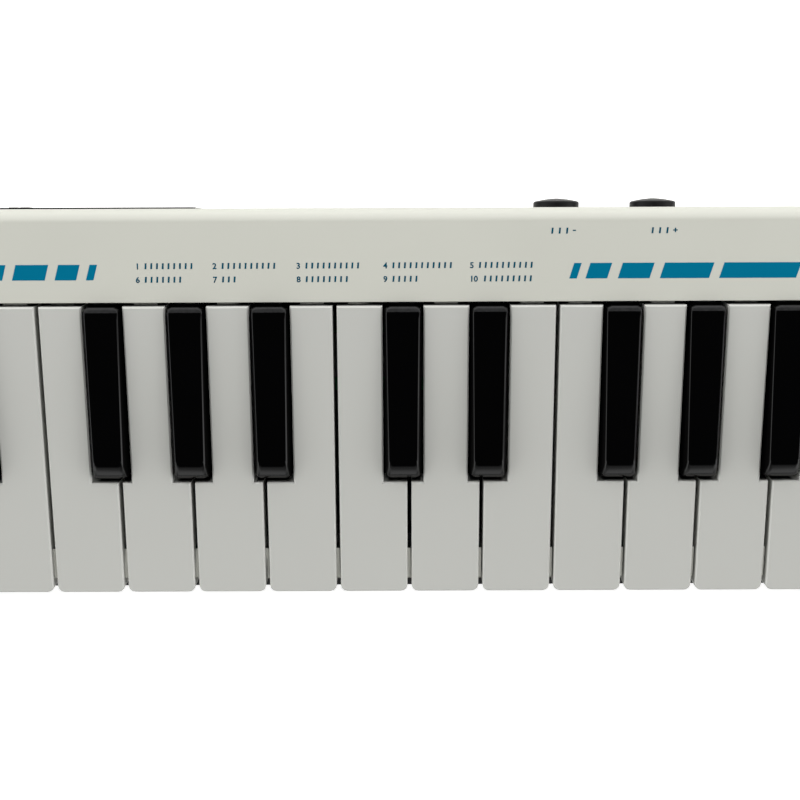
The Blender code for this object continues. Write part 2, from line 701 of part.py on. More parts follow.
def lower_case(finish):
    """Tray with front rail, posts and the hand recess."""
    top = SPLIT_HEIGHT - SEAT_GAP
    tray = case_block(0, top, 0)
    rounded(tray, level_edges(tray, 0), BASE_ROUND, 2)
    rail_left = -BAY_HALF + SEAT_GAP
    rail_rear = CASE_FRONT + RAIL_DEPTH
    rail = prism([(rail_left, CASE_FRONT, WALL), (rail_left, rail_rear, WALL),
                  (rail_left, rail_rear, RAIL_HEIGHT),
                  (rail_left, CASE_FRONT + RAIL_SLOPE, RAIL_HEIGHT),
                  (rail_left, CASE_FRONT, RAIL_HEIGHT - RAIL_SLOPE_FALL)],
                 (-2 * rail_left, 0, 0))
    tray = joined(tray, rail)
    hollow = case_block(WALL, RAIL_HEIGHT + THROUGH, WALL)
    ledge = box((-CASE_END, CASE_FRONT - THROUGH, RAIL_HEIGHT - RAIL_SLOPE_FALL - WALL),
                (CASE_END, rail_rear, RAIL_HEIGHT + 2 * THROUGH))
    tray = cut(tray, cut(hollow, ledge))

    left, right = RECESS_CENTRE - RECESS_LENGTH / 2, RECESS_CENTRE + RECESS_LENGTH / 2
    half = RECESS_WIDTH / 2
    in_floor = WALL / 2
    hand_hollow = box((left - WALL, -half - WALL, in_floor),
                      (right + WALL, half + WALL, RECESS_DEPTH + WALL))
    posts = [rod(POST_RADIUS, in_floor, CHASSIS_FLOOR - SEAT_GAP, 10, upright(x, y))
             for x, y in POST_PLACES]
    bosses = [rod(POST_RADIUS, in_floor, top, 10, upright(x, y)) for x, y in case_screws()]
    tray = joined(tray, hand_hollow, *posts, *bosses)

    recess = box((left, -half, -THROUGH), (right, half, RECESS_DEPTH))
    holes = [rod(SCREW_HEAD_HOLE, -THROUGH, SCREW_HOLE_DEPTH, 10, upright(x, y))
             for x, y in [*POST_PLACES, *case_screws()]]
    strap_half = STRAP_WIDTH / 2 + SEAT_GAP
    slot = box((left - THROUGH, -strap_half, STRAP_ENTRY - SEAT_GAP),
               (right + THROUGH, strap_half, STRAP_ENTRY + STRAP_THICKNESS + SEAT_GAP))
    piece("lower_case", cut(cut(tray, recess, *holes), slot), finish)


def key_chassis(finish):
    """Frame under the keys with the ribs that hold the rod."""
    ahead, behind = PIVOT_Y - RIB_AHEAD, PIVOT_Y + RIB_BEHIND
    plate = box((-CHASSIS_HALF, CHASSIS_FRONT, CHASSIS_FLOOR),
                (CHASSIS_HALF, behind, CHASSIS_TOP))
    in_plate = CHASSIS_FLOOR + CHASSIS_THICKNESS / 2
    rails = [box((-CHASSIS_HALF, CHASSIS_FRONT, in_plate),
                 (CHASSIS_HALF, CHASSIS_FRONT + CHASSIS_RAIL,
                  FELT_TOP - FELT_THICKNESS - SEAT_GAP))]
    shoulder = PIVOT_Z + ROD_RADIUS
    outermost = CHASSIS_HALF - RIB_THICKNESS / 2
    for index in rib_lines():
        x = min(max(boundary(index), -outermost), outermost) - RIB_THICKNESS / 2
        outline = [(x, ahead, in_plate), (x, behind, in_plate),
                   (x, PIVOT_Y + EYE_RADIUS, shoulder), (x, PIVOT_Y + EYE_BORE, shoulder)]
        outline += reversed(arc(EYE_BORE, radians(180), radians(360), 6, x))
        outline += [(x, PIVOT_Y - EYE_BORE, shoulder), (x, ahead, shoulder)]
        rails.append(prism(outline, (RIB_THICKNESS, 0, 0)))
    piece("key_chassis", joined(plate, *rails), finish)


def rib_lines():
    """White key boundaries with no black key above them, and the two ends."""
    inner = [index for index in range(1, WHITE_COUNT) if black_after(index - 1) is None]
    return [0, *inner, WHITE_COUNT]


def keybed(felt, board, rubber, steel):
    """What lies on the chassis: felt, contact board, rubber domes, pivot rod."""
    strip = box((-CHASSIS_HALF, CHASSIS_FRONT + SEAT_GAP, FELT_TOP - FELT_THICKNESS),
                (CHASSIS_HALF, CHASSIS_FRONT + CHASSIS_RAIL - SEAT_GAP, FELT_TOP))
    piece("key_rest_felt", strip, felt)

    low = CHASSIS_TOP + SEAT_GAP
    piece("contact_board", box((-CHASSIS_HALF, CONTACT_Y - BOARD_WIDTH / 2, low),
                               (CHASSIS_HALF, CONTACT_Y + BOARD_WIDTH / 2, BOARD_TOP)), board)

    sheet = box((-CHASSIS_HALF, CONTACT_Y - STRIP_WIDTH / 2, BOARD_TOP + SEAT_GAP),
                (CHASSIS_HALF, CONTACT_Y + STRIP_WIDTH / 2, STRIP_TOP))
    domes = []
    for *_, centre in key_rows():
        domes.append(turned([(DOME_RADIUS, STRIP_TOP - STRIP_THICKNESS / 2),
                             (DOME_TOP_RADIUS, STRIP_TOP + DOME_HEIGHT)],
                            DOME_SIDES, upright(centre, CONTACT_Y)))
    piece("contact_strip", joined(sheet, *domes), rubber)

    along = upright(0, PIVOT_Y, PIVOT_Z) @ Matrix.Rotation(pi / 2, 4, "Y")
    piece("key_pivot_rod", rod(ROD_RADIUS, -CHASSIS_HALF, CHASSIS_HALF, 12, along), steel,
          origin=(0, PIVOT_Y, PIVOT_Z), round_piece=True)


def cap(radius, base, rise):
    """Radii and heights of a button's cap: a soft shoulder and a shallow cone."""
    return [(radius * across, base + rise * up) for across, up in CAP_SHAPE]


def button(radius, proud, rim, flange_front, place):
    """Push button turned around its axis, with flange and stem behind the wall."""
    flange = radius + FLANGE_LEDGE
    flange_rear = flange_front - FLANGE_THICKNESS
    stem_end = SWITCH_HEIGHT + BUTTON_TRAVEL + SEAT_GAP / 2 - MAIN_BOARD_DEPTH
    profile = [(STEM_RADIUS, stem_end), (STEM_RADIUS, flange_rear), (flange, flange_rear),
               (flange, flange_front), (radius, flange_front)]
    return turned(profile + cap(radius, rim, proud - rim), 20, place)


def rear_controls(rear, glossy, satin, metal):
    """Everything that shows in the rear face."""
    for name, x in (("octave_down_button", OCTAVE_DOWN_X), ("octave_up_button", OCTAVE_UP_X)):
        shape = button(OCTAVE_RADIUS, OCTAVE_PROUD, OCTAVE_RIM, -WALL - SEAT_GAP, out_of_rear(x))
        piece(name, shape, satin, rear, (x, 0, 0), round_piece=True)
    shape = button(TONE_RADIUS, TONE_PROUD, TONE_RIM, PLATE_BACK - SEAT_GAP, out_of_rear(TONE_X))
    piece("tone_button", shape, satin, rear, (TONE_X, 0, 0), round_piece=True)

    plate = prism(plate_outline(PLATE_BACK), (0, PLATE_THICKNESS, 0))
    wheel_slot = (WHEEL_RADIUS ** 2 - (WHEEL_Y - PLATE_BACK) ** 2) ** 0.5 + 2 * CONTROL_GAP
    slots = []
    for left, right, height in (
            (SLIDER_X - SLIDER_WIDTH / 2, SLIDER_X + SLIDER_WIDTH / 2 + SLIDER_TRAVEL,
             SLIDER_HEIGHT),
            (WHEEL_X - wheel_slot, WHEEL_X + wheel_slot, WHEEL_WIDTH),
            (USB_X - USB_WIDTH / 2, USB_X + USB_WIDTH / 2, USB_HEIGHT)):
        slots.append(box((left - CONTROL_GAP, -THROUGH, -height / 2 - CONTROL_GAP),
                         (right + CONTROL_GAP, THROUGH, height / 2 + CONTROL_GAP)))
    for x, radius in ((TONE_X, TONE_RADIUS), (JACK_X, JACK_RADIUS)):
        slots.append(rod(radius + CONTROL_GAP, -THROUGH, THROUGH, 16, out_of_rear(x)))
    piece("rear_plate", cut(plate, *slots), glossy, rear)

    piece("power_slider", slider(), satin, rear, (SLIDER_X, 0, 0))
    piece("volume_wheel", thumb_wheel(), satin, rear, (WHEEL_X, WHEEL_Y, 0))

    socket_back = SEAT_GAP - MAIN_BOARD_DEPTH
    port = box((USB_X - USB_WIDTH / 2, socket_back, -USB_HEIGHT / 2),
               (USB_X + USB_WIDTH / 2, PLATE_PROUD / 2, USB_HEIGHT / 2))
    mouth = box((USB_X - USB_WIDTH / 2 + USB_SHELL, PLATE_PROUD - USB_DEPTH,
                 USB_SHELL - USB_HEIGHT / 2),
                (USB_X + USB_WIDTH / 2 - USB_SHELL, THROUGH, USB_HEIGHT / 2 - USB_SHELL))
    piece("usb_port", cut(port, mouth), metal, rear)

    body_front = PLATE_BACK - SEAT_GAP
    body = box((JACK_X - JACK_BODY / 2, socket_back, -JACK_BODY / 2),
               (JACK_X + JACK_BODY / 2, body_front, JACK_BODY / 2))
    barrel = rod(JACK_RADIUS, body_front - JACK_RADIUS, PLATE_PROUD, 16, out_of_rear(JACK_X))
    bore = rod(JACK_BORE, PLATE_PROUD - JACK_DEPTH, THROUGH, 12, out_of_rear(JACK_X))
    piece("headphone_jack", cut(joined(body, barrel), bore), satin, rear)


def slider():
    """Ribbed knob of the power switch, with the flange and arm behind the plate."""
    half = SLIDER_WIDTH / 2
    flange_half = half + SLIDER_FLANGE
    flange_front = PLATE_BACK - SEAT_GAP
    flange_rear = flange_front - FLANGE_THICKNESS
    switch_front = SWITCH_HEIGHT - MAIN_BOARD_DEPTH
    in_flange = flange_front - FLANGE_THICKNESS / 2
    knob = box((SLIDER_X - half, in_flange, -SLIDER_HEIGHT / 2),
               (SLIDER_X + half, SLIDER_PROUD, SLIDER_HEIGHT / 2))
    groove = box((SLIDER_X - SLIDER_GROOVE / 2, SLIDER_PROUD - SLIDER_GROOVE, -SLIDER_HEIGHT),
                 (SLIDER_X + SLIDER_GROOVE / 2, SLIDER_PROUD + THROUGH, SLIDER_HEIGHT))
    flange = box((SLIDER_X - flange_half, flange_rear, -SLIDER_HEIGHT / 2 - SLIDER_FLANGE),
                 (SLIDER_X + flange_half, flange_front, SLIDER_HEIGHT / 2 + SLIDER_FLANGE))
    arm = box((SLIDER_X - SLIDER_ARM / 2, switch_front + SEAT_GAP, -SLIDER_ARM / 2),
              (SLIDER_X + SLIDER_ARM / 2, in_flange, SLIDER_ARM / 2))
    return joined(joined(cut(knob, groove), flange), arm)


def thumb_wheel():
    """Toothed volume wheel with its stub shaft."""
    outline = []
    for step in range(2 * WHEEL_TEETH):
        turn = pi * step / WHEEL_TEETH
        radius = WHEEL_RADIUS - (step % 2) * WHEEL_TOOTH
        outline.append((WHEEL_X + radius * cos(turn), WHEEL_Y + radius * sin(turn),
                        -WHEEL_WIDTH / 2))
    wheel = prism(outline, (0, 0, WHEEL_WIDTH))
    shaft = rod(WHEEL_SHAFT, -WHEEL_WIDTH / 2 - WHEEL_SHAFT_LENGTH, 0, 10,
                upright(WHEEL_X, WHEEL_Y))
    return joined(wheel, shaft)


def main_board(rear, finish):
    """Board behind the rear wall with its switches, the wheel's potentiometer and two chips."""
    front = -MAIN_BOARD_DEPTH
    back = front - MAIN_BOARD_THICKNESS
    floor = WALL + SEAT_GAP
    bottom = (floor - CONTROL_HEIGHT + front * sin(REAR_LEAN)) / cos(REAR_LEAN)
    board = box((MAIN_BOARD_LEFT, back, bottom), (MAIN_BOARD_RIGHT, front, MAIN_BOARD_TOP))
    in_board = front - MAIN_BOARD_THICKNESS / 2
    half = SWITCH_SIZE / 2
    spans = [(x - half, x + half) for x in (OCTAVE_DOWN_X, OCTAVE_UP_X, TONE_X)]
    slide_half = SLIDER_WIDTH / 2 + SLIDER_TRAVEL
    slide_middle = SLIDER_X + SLIDER_TRAVEL / 2
    spans.append((slide_middle - slide_half, slide_middle + slide_half))
    parts = [box((left, in_board, -half), (right, front + SWITCH_HEIGHT, half))
             for left, right in spans]
    for x in CHIP_PLACES:
        parts.append(box((x - CHIP_SIZE / 2, in_board, bottom + CHIP_RAISED),
                         (x + CHIP_SIZE / 2, front + CHIP_HEIGHT,
                          bottom + CHIP_RAISED + CHIP_SIZE)))
    under_wheel = -WHEEL_WIDTH / 2 - SEAT_GAP
    hole_floor = -WHEEL_WIDTH / 2 - WHEEL_SHAFT_LENGTH - SEAT_GAP
    pot = box((WHEEL_X - half, in_board, hole_floor - WALL),
              (WHEEL_X + half, WHEEL_Y + half / 2, under_wheel))
    board = joined(board, pot, *parts)
    shaft_hole = rod(WHEEL_SHAFT + ROD_CLEARANCE, hole_floor, WHEEL_WIDTH, 10,
                     upright(WHEEL_X, WHEEL_Y))
    reach = WHEEL_RADIUS + 2 * CONTROL_GAP
    wheel_notch = box((WHEEL_X - reach, back - THROUGH, under_wheel),
                      (WHEEL_X + reach, WHEEL_Y + reach, WHEEL_WIDTH / 2 + SEAT_GAP))
    piece("main_board", cut(cut(board, wheel_notch), shaft_hole), finish, rear)


def battery_and_speaker(wrap, cone):
    """Battery pack on the floor of the case, speaker under its grille."""
    length, width, height = BATTERY_SIZE
    low = WALL + SEAT_GAP
    pack = box((BATTERY_CENTRE - length / 2, -width / 2, low),
               (BATTERY_CENTRE + length / 2, width / 2, low + height))
    rounded(pack, pack.edges[:], BATTERY_ROUND, 1)
    piece("battery_pack", pack, wrap)

    top = CASE_HEIGHT - WALL - SEAT_GAP
    rim = SPEAKER_RADIUS - SPEAKER_RIM
    profile = [(MAGNET_RADIUS, top - SPEAKER_HEIGHT),
               (MAGNET_RADIUS, top - SPEAKER_HEIGHT + MAGNET_HEIGHT),
               (SPEAKER_RADIUS, top - SPEAKER_RIM), (SPEAKER_RADIUS, top), (rim, top),
               (rim, top - SPEAKER_RIM / 2), (CONE_FLOOR_RADIUS, top - CONE_DEPTH),
               (DUST_CAP_RADIUS, top - CONE_DEPTH + DUST_CAP_RISE)]
    piece("speaker", turned(profile, 16, upright(SPEAKER_X, SPEAKER_Y)), cone,
          origin=(SPEAKER_X, SPEAKER_Y, top), round_piece=True)


def oval(half_height, half_width, reach, sides=16):
    """Points around the inlet's axis: local x is up, y along the case's depth."""
    turns = [2 * pi * i / sides for i in range(sides)]
    return [Vector((half_height * cos(turn), half_width * sin(turn), reach)) for turn in turns]


def breath_parts(black, board, silicone):
    """Socket, mouthpiece, hose and sensor at the left end."""
    collar = SOCKET_PROUD + 2 * SEAT_GAP
    spigot_end = collar - SPIGOT_LENGTH
    flange_back = SEAT_GAP
    bore = SPIGOT_RADIUS + SEAT_GAP
    floor = spigot_end - 2 * SEAT_GAP
    body_end = floor - SOCKET_FLOOR
    profile = [(NIPPLE_RADIUS, body_end - NIPPLE_LENGTH), (NIPPLE_RADIUS, body_end),
               (SOCKET_RADIUS, body_end), (SOCKET_RADIUS, flange_back),
               (SOCKET_FLANGE, flange_back), (SOCKET_FLANGE, flange_back + SOCKET_PROUD),
               (bore, flange_back + SOCKET_PROUD), (bore, floor)]
    socket = turned(profile, 20, inlet_place())
    piece("inlet_socket", socket, black, origin=(-CASE_END, 0, INLET_HEIGHT), round_piece=True)

    tip = collar + MOUTH_LENGTH
    rings = [(SPIGOT_RADIUS, SPIGOT_RADIUS, spigot_end), (SPIGOT_RADIUS, SPIGOT_RADIUS, collar),
             (COLLAR_RADIUS, COLLAR_RADIUS, collar),
             (COLLAR_RADIUS, COLLAR_RADIUS, collar + COLLAR_LENGTH),
             (NECK_RADIUS, NECK_RADIUS, collar + COLLAR_LENGTH + MOUTH_EDGE),
             ((NECK_RADIUS + MOUTH_HEIGHT / 2) / 2, NECK_RADIUS, collar + WAIST),
             (MOUTH_HEIGHT / 2, MOUTH_WIDTH / 2, tip - BITE_LENGTH),
             (MOUTH_HEIGHT / 2, MOUTH_WIDTH / 2, tip - MOUTH_EDGE),
             (MOUTH_HEIGHT / 2 - MOUTH_EDGE, MOUTH_WIDTH / 2 - MOUTH_EDGE, tip),
             (MOUTH_BORE_HEIGHT / 2, MOUTH_BORE_WIDTH / 2, tip),
             ((AIR_BORE + MOUTH_BORE_HEIGHT / 2) / 2, AIR_BORE, collar + WAIST),
             (AIR_BORE, AIR_BORE, collar), (AIR_BORE, AIR_BORE, spigot_end)]
    mouth = lofted([oval(*ring) for ring in rings], closed=True)
    mouth.transform(inlet_place())
    piece("mouthpiece", mouth, black, origin=(-CASE_END, 0, INLET_HEIGHT), round_piece=True)

    x, y = -CASE_END + SENSOR_IN, SENSOR_Y
    low = WALL + SEAT_GAP
    width, depth, thickness = SENSOR_BOARD
    carrier = box((x - width / 2, y - depth / 2, low),
                  (x + width / 2, y + depth / 2, low + thickness))
    side, height = SENSOR_BODY
    top = low + thickness + height
    body = box((x - side / 2, y - side / 2, low + thickness / 2), (x + side / 2, y + side / 2, top))
    port = rod(NIPPLE_RADIUS, top - thickness, top + NIPPLE_LENGTH, 12, upright(x, y))
    piece("breath_sensor", joined(joined(carrier, body), port), board)

    start = -CASE_END - body_end + NIPPLE_LENGTH + SEAT_GAP
    end = top + NIPPLE_LENGTH + SEAT_GAP
    route = [Vector((start, 0, INLET_HEIGHT)) + Vector(step) for step in HOSE_STEPS]
    route += [Vector((x, y, end)) + Vector(step) for step in HOSE_DROP]
    tube("breath_hose", route, HOSE_RADIUS, silicone)


def smooth_route(points, spacing):
    """Points along a smooth curve through a route's own points."""
    route = [Vector(point) for point in points]
    ends = [2 * route[0] - route[1], *route, 2 * route[-1] - route[-2]]
    result = [route[0]]
    for before, here, there, after in zip(ends, ends[1:], ends[2:], ends[3:]):
        steps = max(1, round((there - here).length / spacing))
        for step in range(1, steps + 1):
            t = step / steps
            point = (2 * here + (there - before) * t
                     + (2 * before - 5 * here + 4 * there - after) * t ** 2
                     + (3 * here - before - 3 * there + after) * t ** 3) / 2
            result.append(point)
    return result


def tube(name, route, radius, finish):
    """A hose along a route, closed at both ends."""
    curve = bpy.data.curves.new(name, "CURVE")
    curve.dimensions = "3D"
    spline = curve.splines.new("POLY")
    points = smooth_route(route, 2 * radius)
    spline.points.add(len(points) - 1)
    for spot, point in zip(spline.points, points):
        spot.co = (*point, 1)
    curve.bevel_depth = radius
    curve.bevel_resolution = 2
    curve.use_fill_caps = True
    curve.materials.append(finish)
    bpy.context.scene.collection.objects.link(bpy.data.objects.new(name, curve))


def hand_strap(finish):
    """Strap across the recess, bowed downwards, with a bead behind each slot."""
    half = RECESS_LENGTH / 2
    spans = []
    for step in range(STRAP_STATIONS + 1):
        t = 2 * step / STRAP_STATIONS - 1
        low = STRAP_LOW + (STRAP_ENTRY - STRAP_LOW) * t ** 2
        spans.append((t * half, low, STRAP_THICKNESS, STRAP_WIDTH))
    bead = half + WALL + SEAT_GAP
    bead_low = STRAP_ENTRY + (STRAP_THICKNESS - STRAP_BEAD) / 2
    ends = [(bead, STRAP_ENTRY, STRAP_THICKNESS, STRAP_WIDTH),
            (bead, bead_low, STRAP_BEAD, STRAP_BEAD_WIDTH),
            (bead + STRAP_BEAD_LENGTH, bead_low, STRAP_BEAD, STRAP_BEAD_WIDTH)]
    spans = [(-x, *section) for x, *section in reversed(ends)] + spans + ends
    rings = []
    for x, low, thick, width in spans:
        rings.append([Vector((RECESS_CENTRE + x, y, z)) for y, z in (
            (-width / 2, low), (width / 2, low),
            (width / 2, low + thick), (-width / 2, low + thick))])
    piece("hand_strap", lofted(rings), finish)


def build():
    """Make every piece."""
    for leftover in list(bpy.data.objects):
        bpy.data.objects.remove(leftover)
    shell = material("case_plastic", (0.60, 0.60, 0.54), 0.45)
    white = material("white_key_plastic", (0.53, 0.53, 0.49), 0.35)
    black = material("black_key_plastic", (0.006, 0.006, 0.007), 0.12)
    frame_black = material("chassis_plastic", (0.02, 0.02, 0.02), 0.55)
    felt = material("felt", (0.015, 0.015, 0.016), 0.95)
    circuit = material("circuit_board", (0.02, 0.16, 0.06), 0.45)
    rubber = material("grey_rubber", (0.12, 0.12, 0.12), 0.80)
    steel = material("steel", (0.60, 0.60, 0.60), 0.25, 1.0)
    gloss = material("glossy_black_plastic", (0.010, 0.010, 0.011), 0.10)
    satin = material("satin_black_plastic", (0.015, 0.015, 0.016), 0.40)
    wrap = material("battery_wrap", (0.02, 0.09, 0.25), 0.40)
    webbing = material("webbing", (0.025, 0.025, 0.028), 0.90)
    silicone = material("silicone", (0.55, 0.56, 0.56), 0.40)

    upper_case(shell)
    lower_case(shell)
    key_chassis(frame_black)
    keybed(felt, circuit, rubber, steel)
    keys(white, black)
    rear = bpy.data.objects.new("rear_frame", None)
    bpy.context.scene.collection.objects.link(rear)
    rear.matrix_world = REAR_FRAME
    rear_controls(rear, gloss, satin, steel)
    main_board(rear, circuit)
    battery_and_speaker(wrap, satin)
    breath_parts(gloss, circuit, silicone)
    hand_strap(webbing)


build()
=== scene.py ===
# %% [markdown]
# # An electronic melodica, dressed in Blender
# The instrument is a slim light-grey case with a row of piano keys in front, a control panel
# behind them and its buttons in the rear face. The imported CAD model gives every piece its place.
# This script adds what the CAD leaves out: soft edges, plastics with their fine grain, printed
# marks, screws, light and the camera.

# %% Load the frame
import json
from math import atan, cos, pi, radians, sin, sqrt, tan

import bmesh
import bpy
from mathutils import Matrix, Vector

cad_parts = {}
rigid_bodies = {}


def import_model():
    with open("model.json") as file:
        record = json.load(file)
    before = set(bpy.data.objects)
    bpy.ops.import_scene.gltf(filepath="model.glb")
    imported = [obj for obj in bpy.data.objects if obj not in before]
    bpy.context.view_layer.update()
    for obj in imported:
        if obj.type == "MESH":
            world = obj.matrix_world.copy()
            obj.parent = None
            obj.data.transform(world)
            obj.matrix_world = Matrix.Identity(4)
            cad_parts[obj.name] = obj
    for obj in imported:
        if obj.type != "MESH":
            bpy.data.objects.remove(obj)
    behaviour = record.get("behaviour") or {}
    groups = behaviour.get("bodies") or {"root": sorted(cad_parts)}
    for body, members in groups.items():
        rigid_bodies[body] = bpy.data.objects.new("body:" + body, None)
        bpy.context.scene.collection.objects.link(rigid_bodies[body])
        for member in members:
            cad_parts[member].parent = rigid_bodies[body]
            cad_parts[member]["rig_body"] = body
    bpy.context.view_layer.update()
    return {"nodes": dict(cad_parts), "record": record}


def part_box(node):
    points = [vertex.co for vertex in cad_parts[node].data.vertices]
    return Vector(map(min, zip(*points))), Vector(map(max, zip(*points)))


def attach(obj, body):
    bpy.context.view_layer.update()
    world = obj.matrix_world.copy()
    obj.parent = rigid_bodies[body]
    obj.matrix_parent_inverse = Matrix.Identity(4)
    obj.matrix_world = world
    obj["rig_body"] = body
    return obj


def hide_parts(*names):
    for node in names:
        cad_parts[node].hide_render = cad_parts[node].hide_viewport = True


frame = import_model()
NODES = frame["nodes"]
MM = 0.001

# %% [markdown]
# ## Shader maths as plain expressions
# A procedural finish is a formula over the surface. Wiring each Math node by hand hides the
# formula, so one small class wraps a socket and turns Python's operators into Math nodes. A
# second class holds one material and makes any other node from its type.

# %% Wrap a socket
class Wire:
    """An output socket that can stand in an expression."""

    def __init__(self, tree, socket):
        self.tree, self.socket = tree, socket

    def math(self, operation, *others):
        node = self.tree.nodes.new("ShaderNodeMath")
        node.operation = operation
        for place, value in zip(node.inputs, others):
            if isinstance(value, Wire):
                self.tree.links.new(value.socket, place)
            else:
                place.default_value = value
        return Wire(self.tree, node.outputs[0])

    def __add__(self, other):
        return self.math("ADD", self, other)

    def __radd__(self, other):
        return self.math("ADD", other, self)

    def __sub__(self, other):
        return self.math("SUBTRACT", self, other)

    def __rsub__(self, other):
        return self.math("SUBTRACT", other, self)

    def __mul__(self, other):
        return self.math("MULTIPLY", self, other)

    def __rmul__(self, other):
        return self.math("MULTIPLY", other, self)

    def __truediv__(self, other):
        return self.math("DIVIDE", self, other)

    def __gt__(self, other):
        return self.math("GREATER_THAN", self, other)

    def rising(self, low, high):
        """0 below low, 1 above high, and a smooth step between them."""
        node = self.tree.nodes.new("ShaderNodeMapRange")
        node.interpolation_type = "SMOOTHSTEP"
        node.inputs["From Min"].default_value = low
        node.inputs["From Max"].default_value = high
        self.tree.links.new(self.socket, node.inputs["Value"])
        return Wire(self.tree, node.outputs["Result"])

    def sine(self):
        return self.math("SINE", self)

    def absolute(self):
        return self.math("ABSOLUTE", self)


# %% Hold one material
class Finish:
    """A material with its Principled shader, and one method that makes any node."""

    def __init__(self, name, colour, roughness, metallic=0.0, **sockets):
        self.material = bpy.data.materials.new(name)
        self.material.use_nodes = True
        self.tree = self.material.node_tree
        self.shader = self.tree.nodes["Principled BSDF"]
        self.colour = (*colour, 1.0)
        self.feed("Base Color", self.colour)
        self.feed("Roughness", roughness)
        self.feed("Metallic", metallic)
        for socket, value in sockets.items():
            self.feed(socket.replace("_", " "), value)

    def feed(self, name, value):
        place = self.shader.inputs[name]
        if isinstance(value, Wire):
            self.tree.links.new(value.socket, place)
        else:
            place.default_value = value

    def node(self, kind, settings=None, values=None, output=0):
        made = self.tree.nodes.new(kind)
        for name, value in (settings or {}).items():
            setattr(made, name, value)
        for name, value in (values or {}).items():
            if isinstance(value, Wire):
                self.tree.links.new(value.socket, made.inputs[name])
            else:
                made.inputs[name].default_value = value
        return Wire(self.tree, made.outputs[output])

    def place(self):
        return self.node("ShaderNodeTexCoord", output="Object")

    def axes(self):
        split = self.node("ShaderNodeSeparateXYZ", values={"Vector": self.place()})
        return [Wire(self.tree, split.socket.node.outputs[i]) for i in range(3)]

    def noise(self, scale, detail=2.0, stretch=None):
        where = self.place()
        if stretch:
            where = self.node("ShaderNodeMapping", values={"Vector": where, "Scale": stretch})
        return self.node("ShaderNodeTexNoise",
                         values={"Vector": where, "Scale": scale, "Detail": detail})

    def blend(self, amount, first, second):
        made = self.tree.nodes.new("ShaderNodeMix")
        made.data_type = "RGBA"
        for place, value in ((made.inputs[0], amount), (made.inputs[6], first),
                             (made.inputs[7], second)):
            if isinstance(value, Wire):
                self.tree.links.new(value.socket, place)
            else:
                place.default_value = value
        return Wire(self.tree, made.outputs[2])

    def bump(self, height, depth):
        normal = self.node("ShaderNodeBump", values={"Height": height, "Distance": depth,
                                                     "Strength": 1.0})
        self.feed("Normal", normal)


def shade(colour, factor):
    """A colour made darker or lighter."""
    return tuple(value * factor for value in colour[:3]) + (1.0,)


# %% [markdown]
# ## Moulded plastics
# The case and the keys come out of polished or finely eroded moulds. Close up such a surface has
# a grain of about a tenth of a millimetre, a roughness that drifts a little and a colour that is
# not quite even. One function makes them all, from the same four facts.

# %% Make a moulded plastic
def moulded(name, colour, roughness, grain=2600.0, depth=0.000012, drift=0.03, paint_light_and_shade=None,
            **sockets):
    finish = Finish(name, colour, roughness, **sockets)
    cloudy = finish.noise(28.0, 3.0)
    fine = finish.noise(grain, 2.0)
    surface = finish.blend(cloudy, shade(colour, 1 - drift), shade(colour, 1 + drift))
    # Painted light and shade: an optional painter lightens or darkens the colour where light would fall
    # or shade would lie.
    finish.feed("Base Color", paint_light_and_shade(finish, surface) if paint_light_and_shade else surface)
    finish.feed("Roughness", roughness + (fine - 0.5) * 0.12 + (cloudy - 0.5) * 0.10)
    finish.bump(fine, depth)
    return finish.material


def key_recesses(finish, surface):
    """Painted light and shade on a white key: the top of its side rib is painted paler, and the deep
    rear-facing wall of a notch is painted dark.
    """
    x, y, z = finish.axes()
    below = WHITE_KEY_TOP - z
    facing = finish.node("ShaderNodeSeparateXYZ", values={
        "Vector": finish.node("ShaderNodeTexCoord", output="Normal")})
    rearward = Wire(finish.tree, facing.socket.node.outputs["Y"]).rising(0.2, 0.5)
    upward = Wire(finish.tree, facing.socket.node.outputs["Z"]).rising(0.8, 0.95)
    # Painted shade: rear-facing walls grow near-black over the first NOTCH_SHADE below the key top, as
    # deep in a notch.
    notch_painted_shade = finish.blend(rearward * below.rising(0.0, NOTCH_SHADE), surface, (0.01, 0.01, 0.01, 1))
    # Painted light: upward faces more than 1 to 1.5 mm below the key top, such as the side rib's top,
    # are painted paler.
    return finish.blend(upward * below.rising(0.0010, 0.0015), notch_painted_shade, RIB_PAINTED_LIGHT)


WHITE_KEY_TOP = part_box("white_key_01")[1].z
# Depth over which a notch wall's painted shade deepens, and the paler colour of the side rib's painted
# light.
NOTCH_SHADE = 0.0025
RIB_PAINTED_LIGHT = (0.78, 0.78, 0.72, 1)
CASE_GREY = (0.577, 0.580, 0.519)
KEY_WHITE = (0.511, 0.514, 0.484)
case_plastic = moulded("case_plastic", CASE_GREY, 0.42)
white_key_plastic = moulded("white_key_plastic", KEY_WHITE, 0.34, grain=3400.0, depth=0.000006,
                            drift=0.015, paint_light_and_shade=key_recesses)
gloss_black = moulded("glossy_black_plastic", (0.004, 0.004, 0.0045), 0.09, grain=900.0,
                      depth=0.000002, drift=0.2)
satin_black = moulded("satin_black_plastic", (0.002, 0.002, 0.0023), 0.34, grain=3000.0,
                      depth=0.000004, drift=0.2, Specular_IOR_Level=0.16)
chassis_plastic = moulded("chassis_plastic", (0.02, 0.02, 0.02), 0.55)


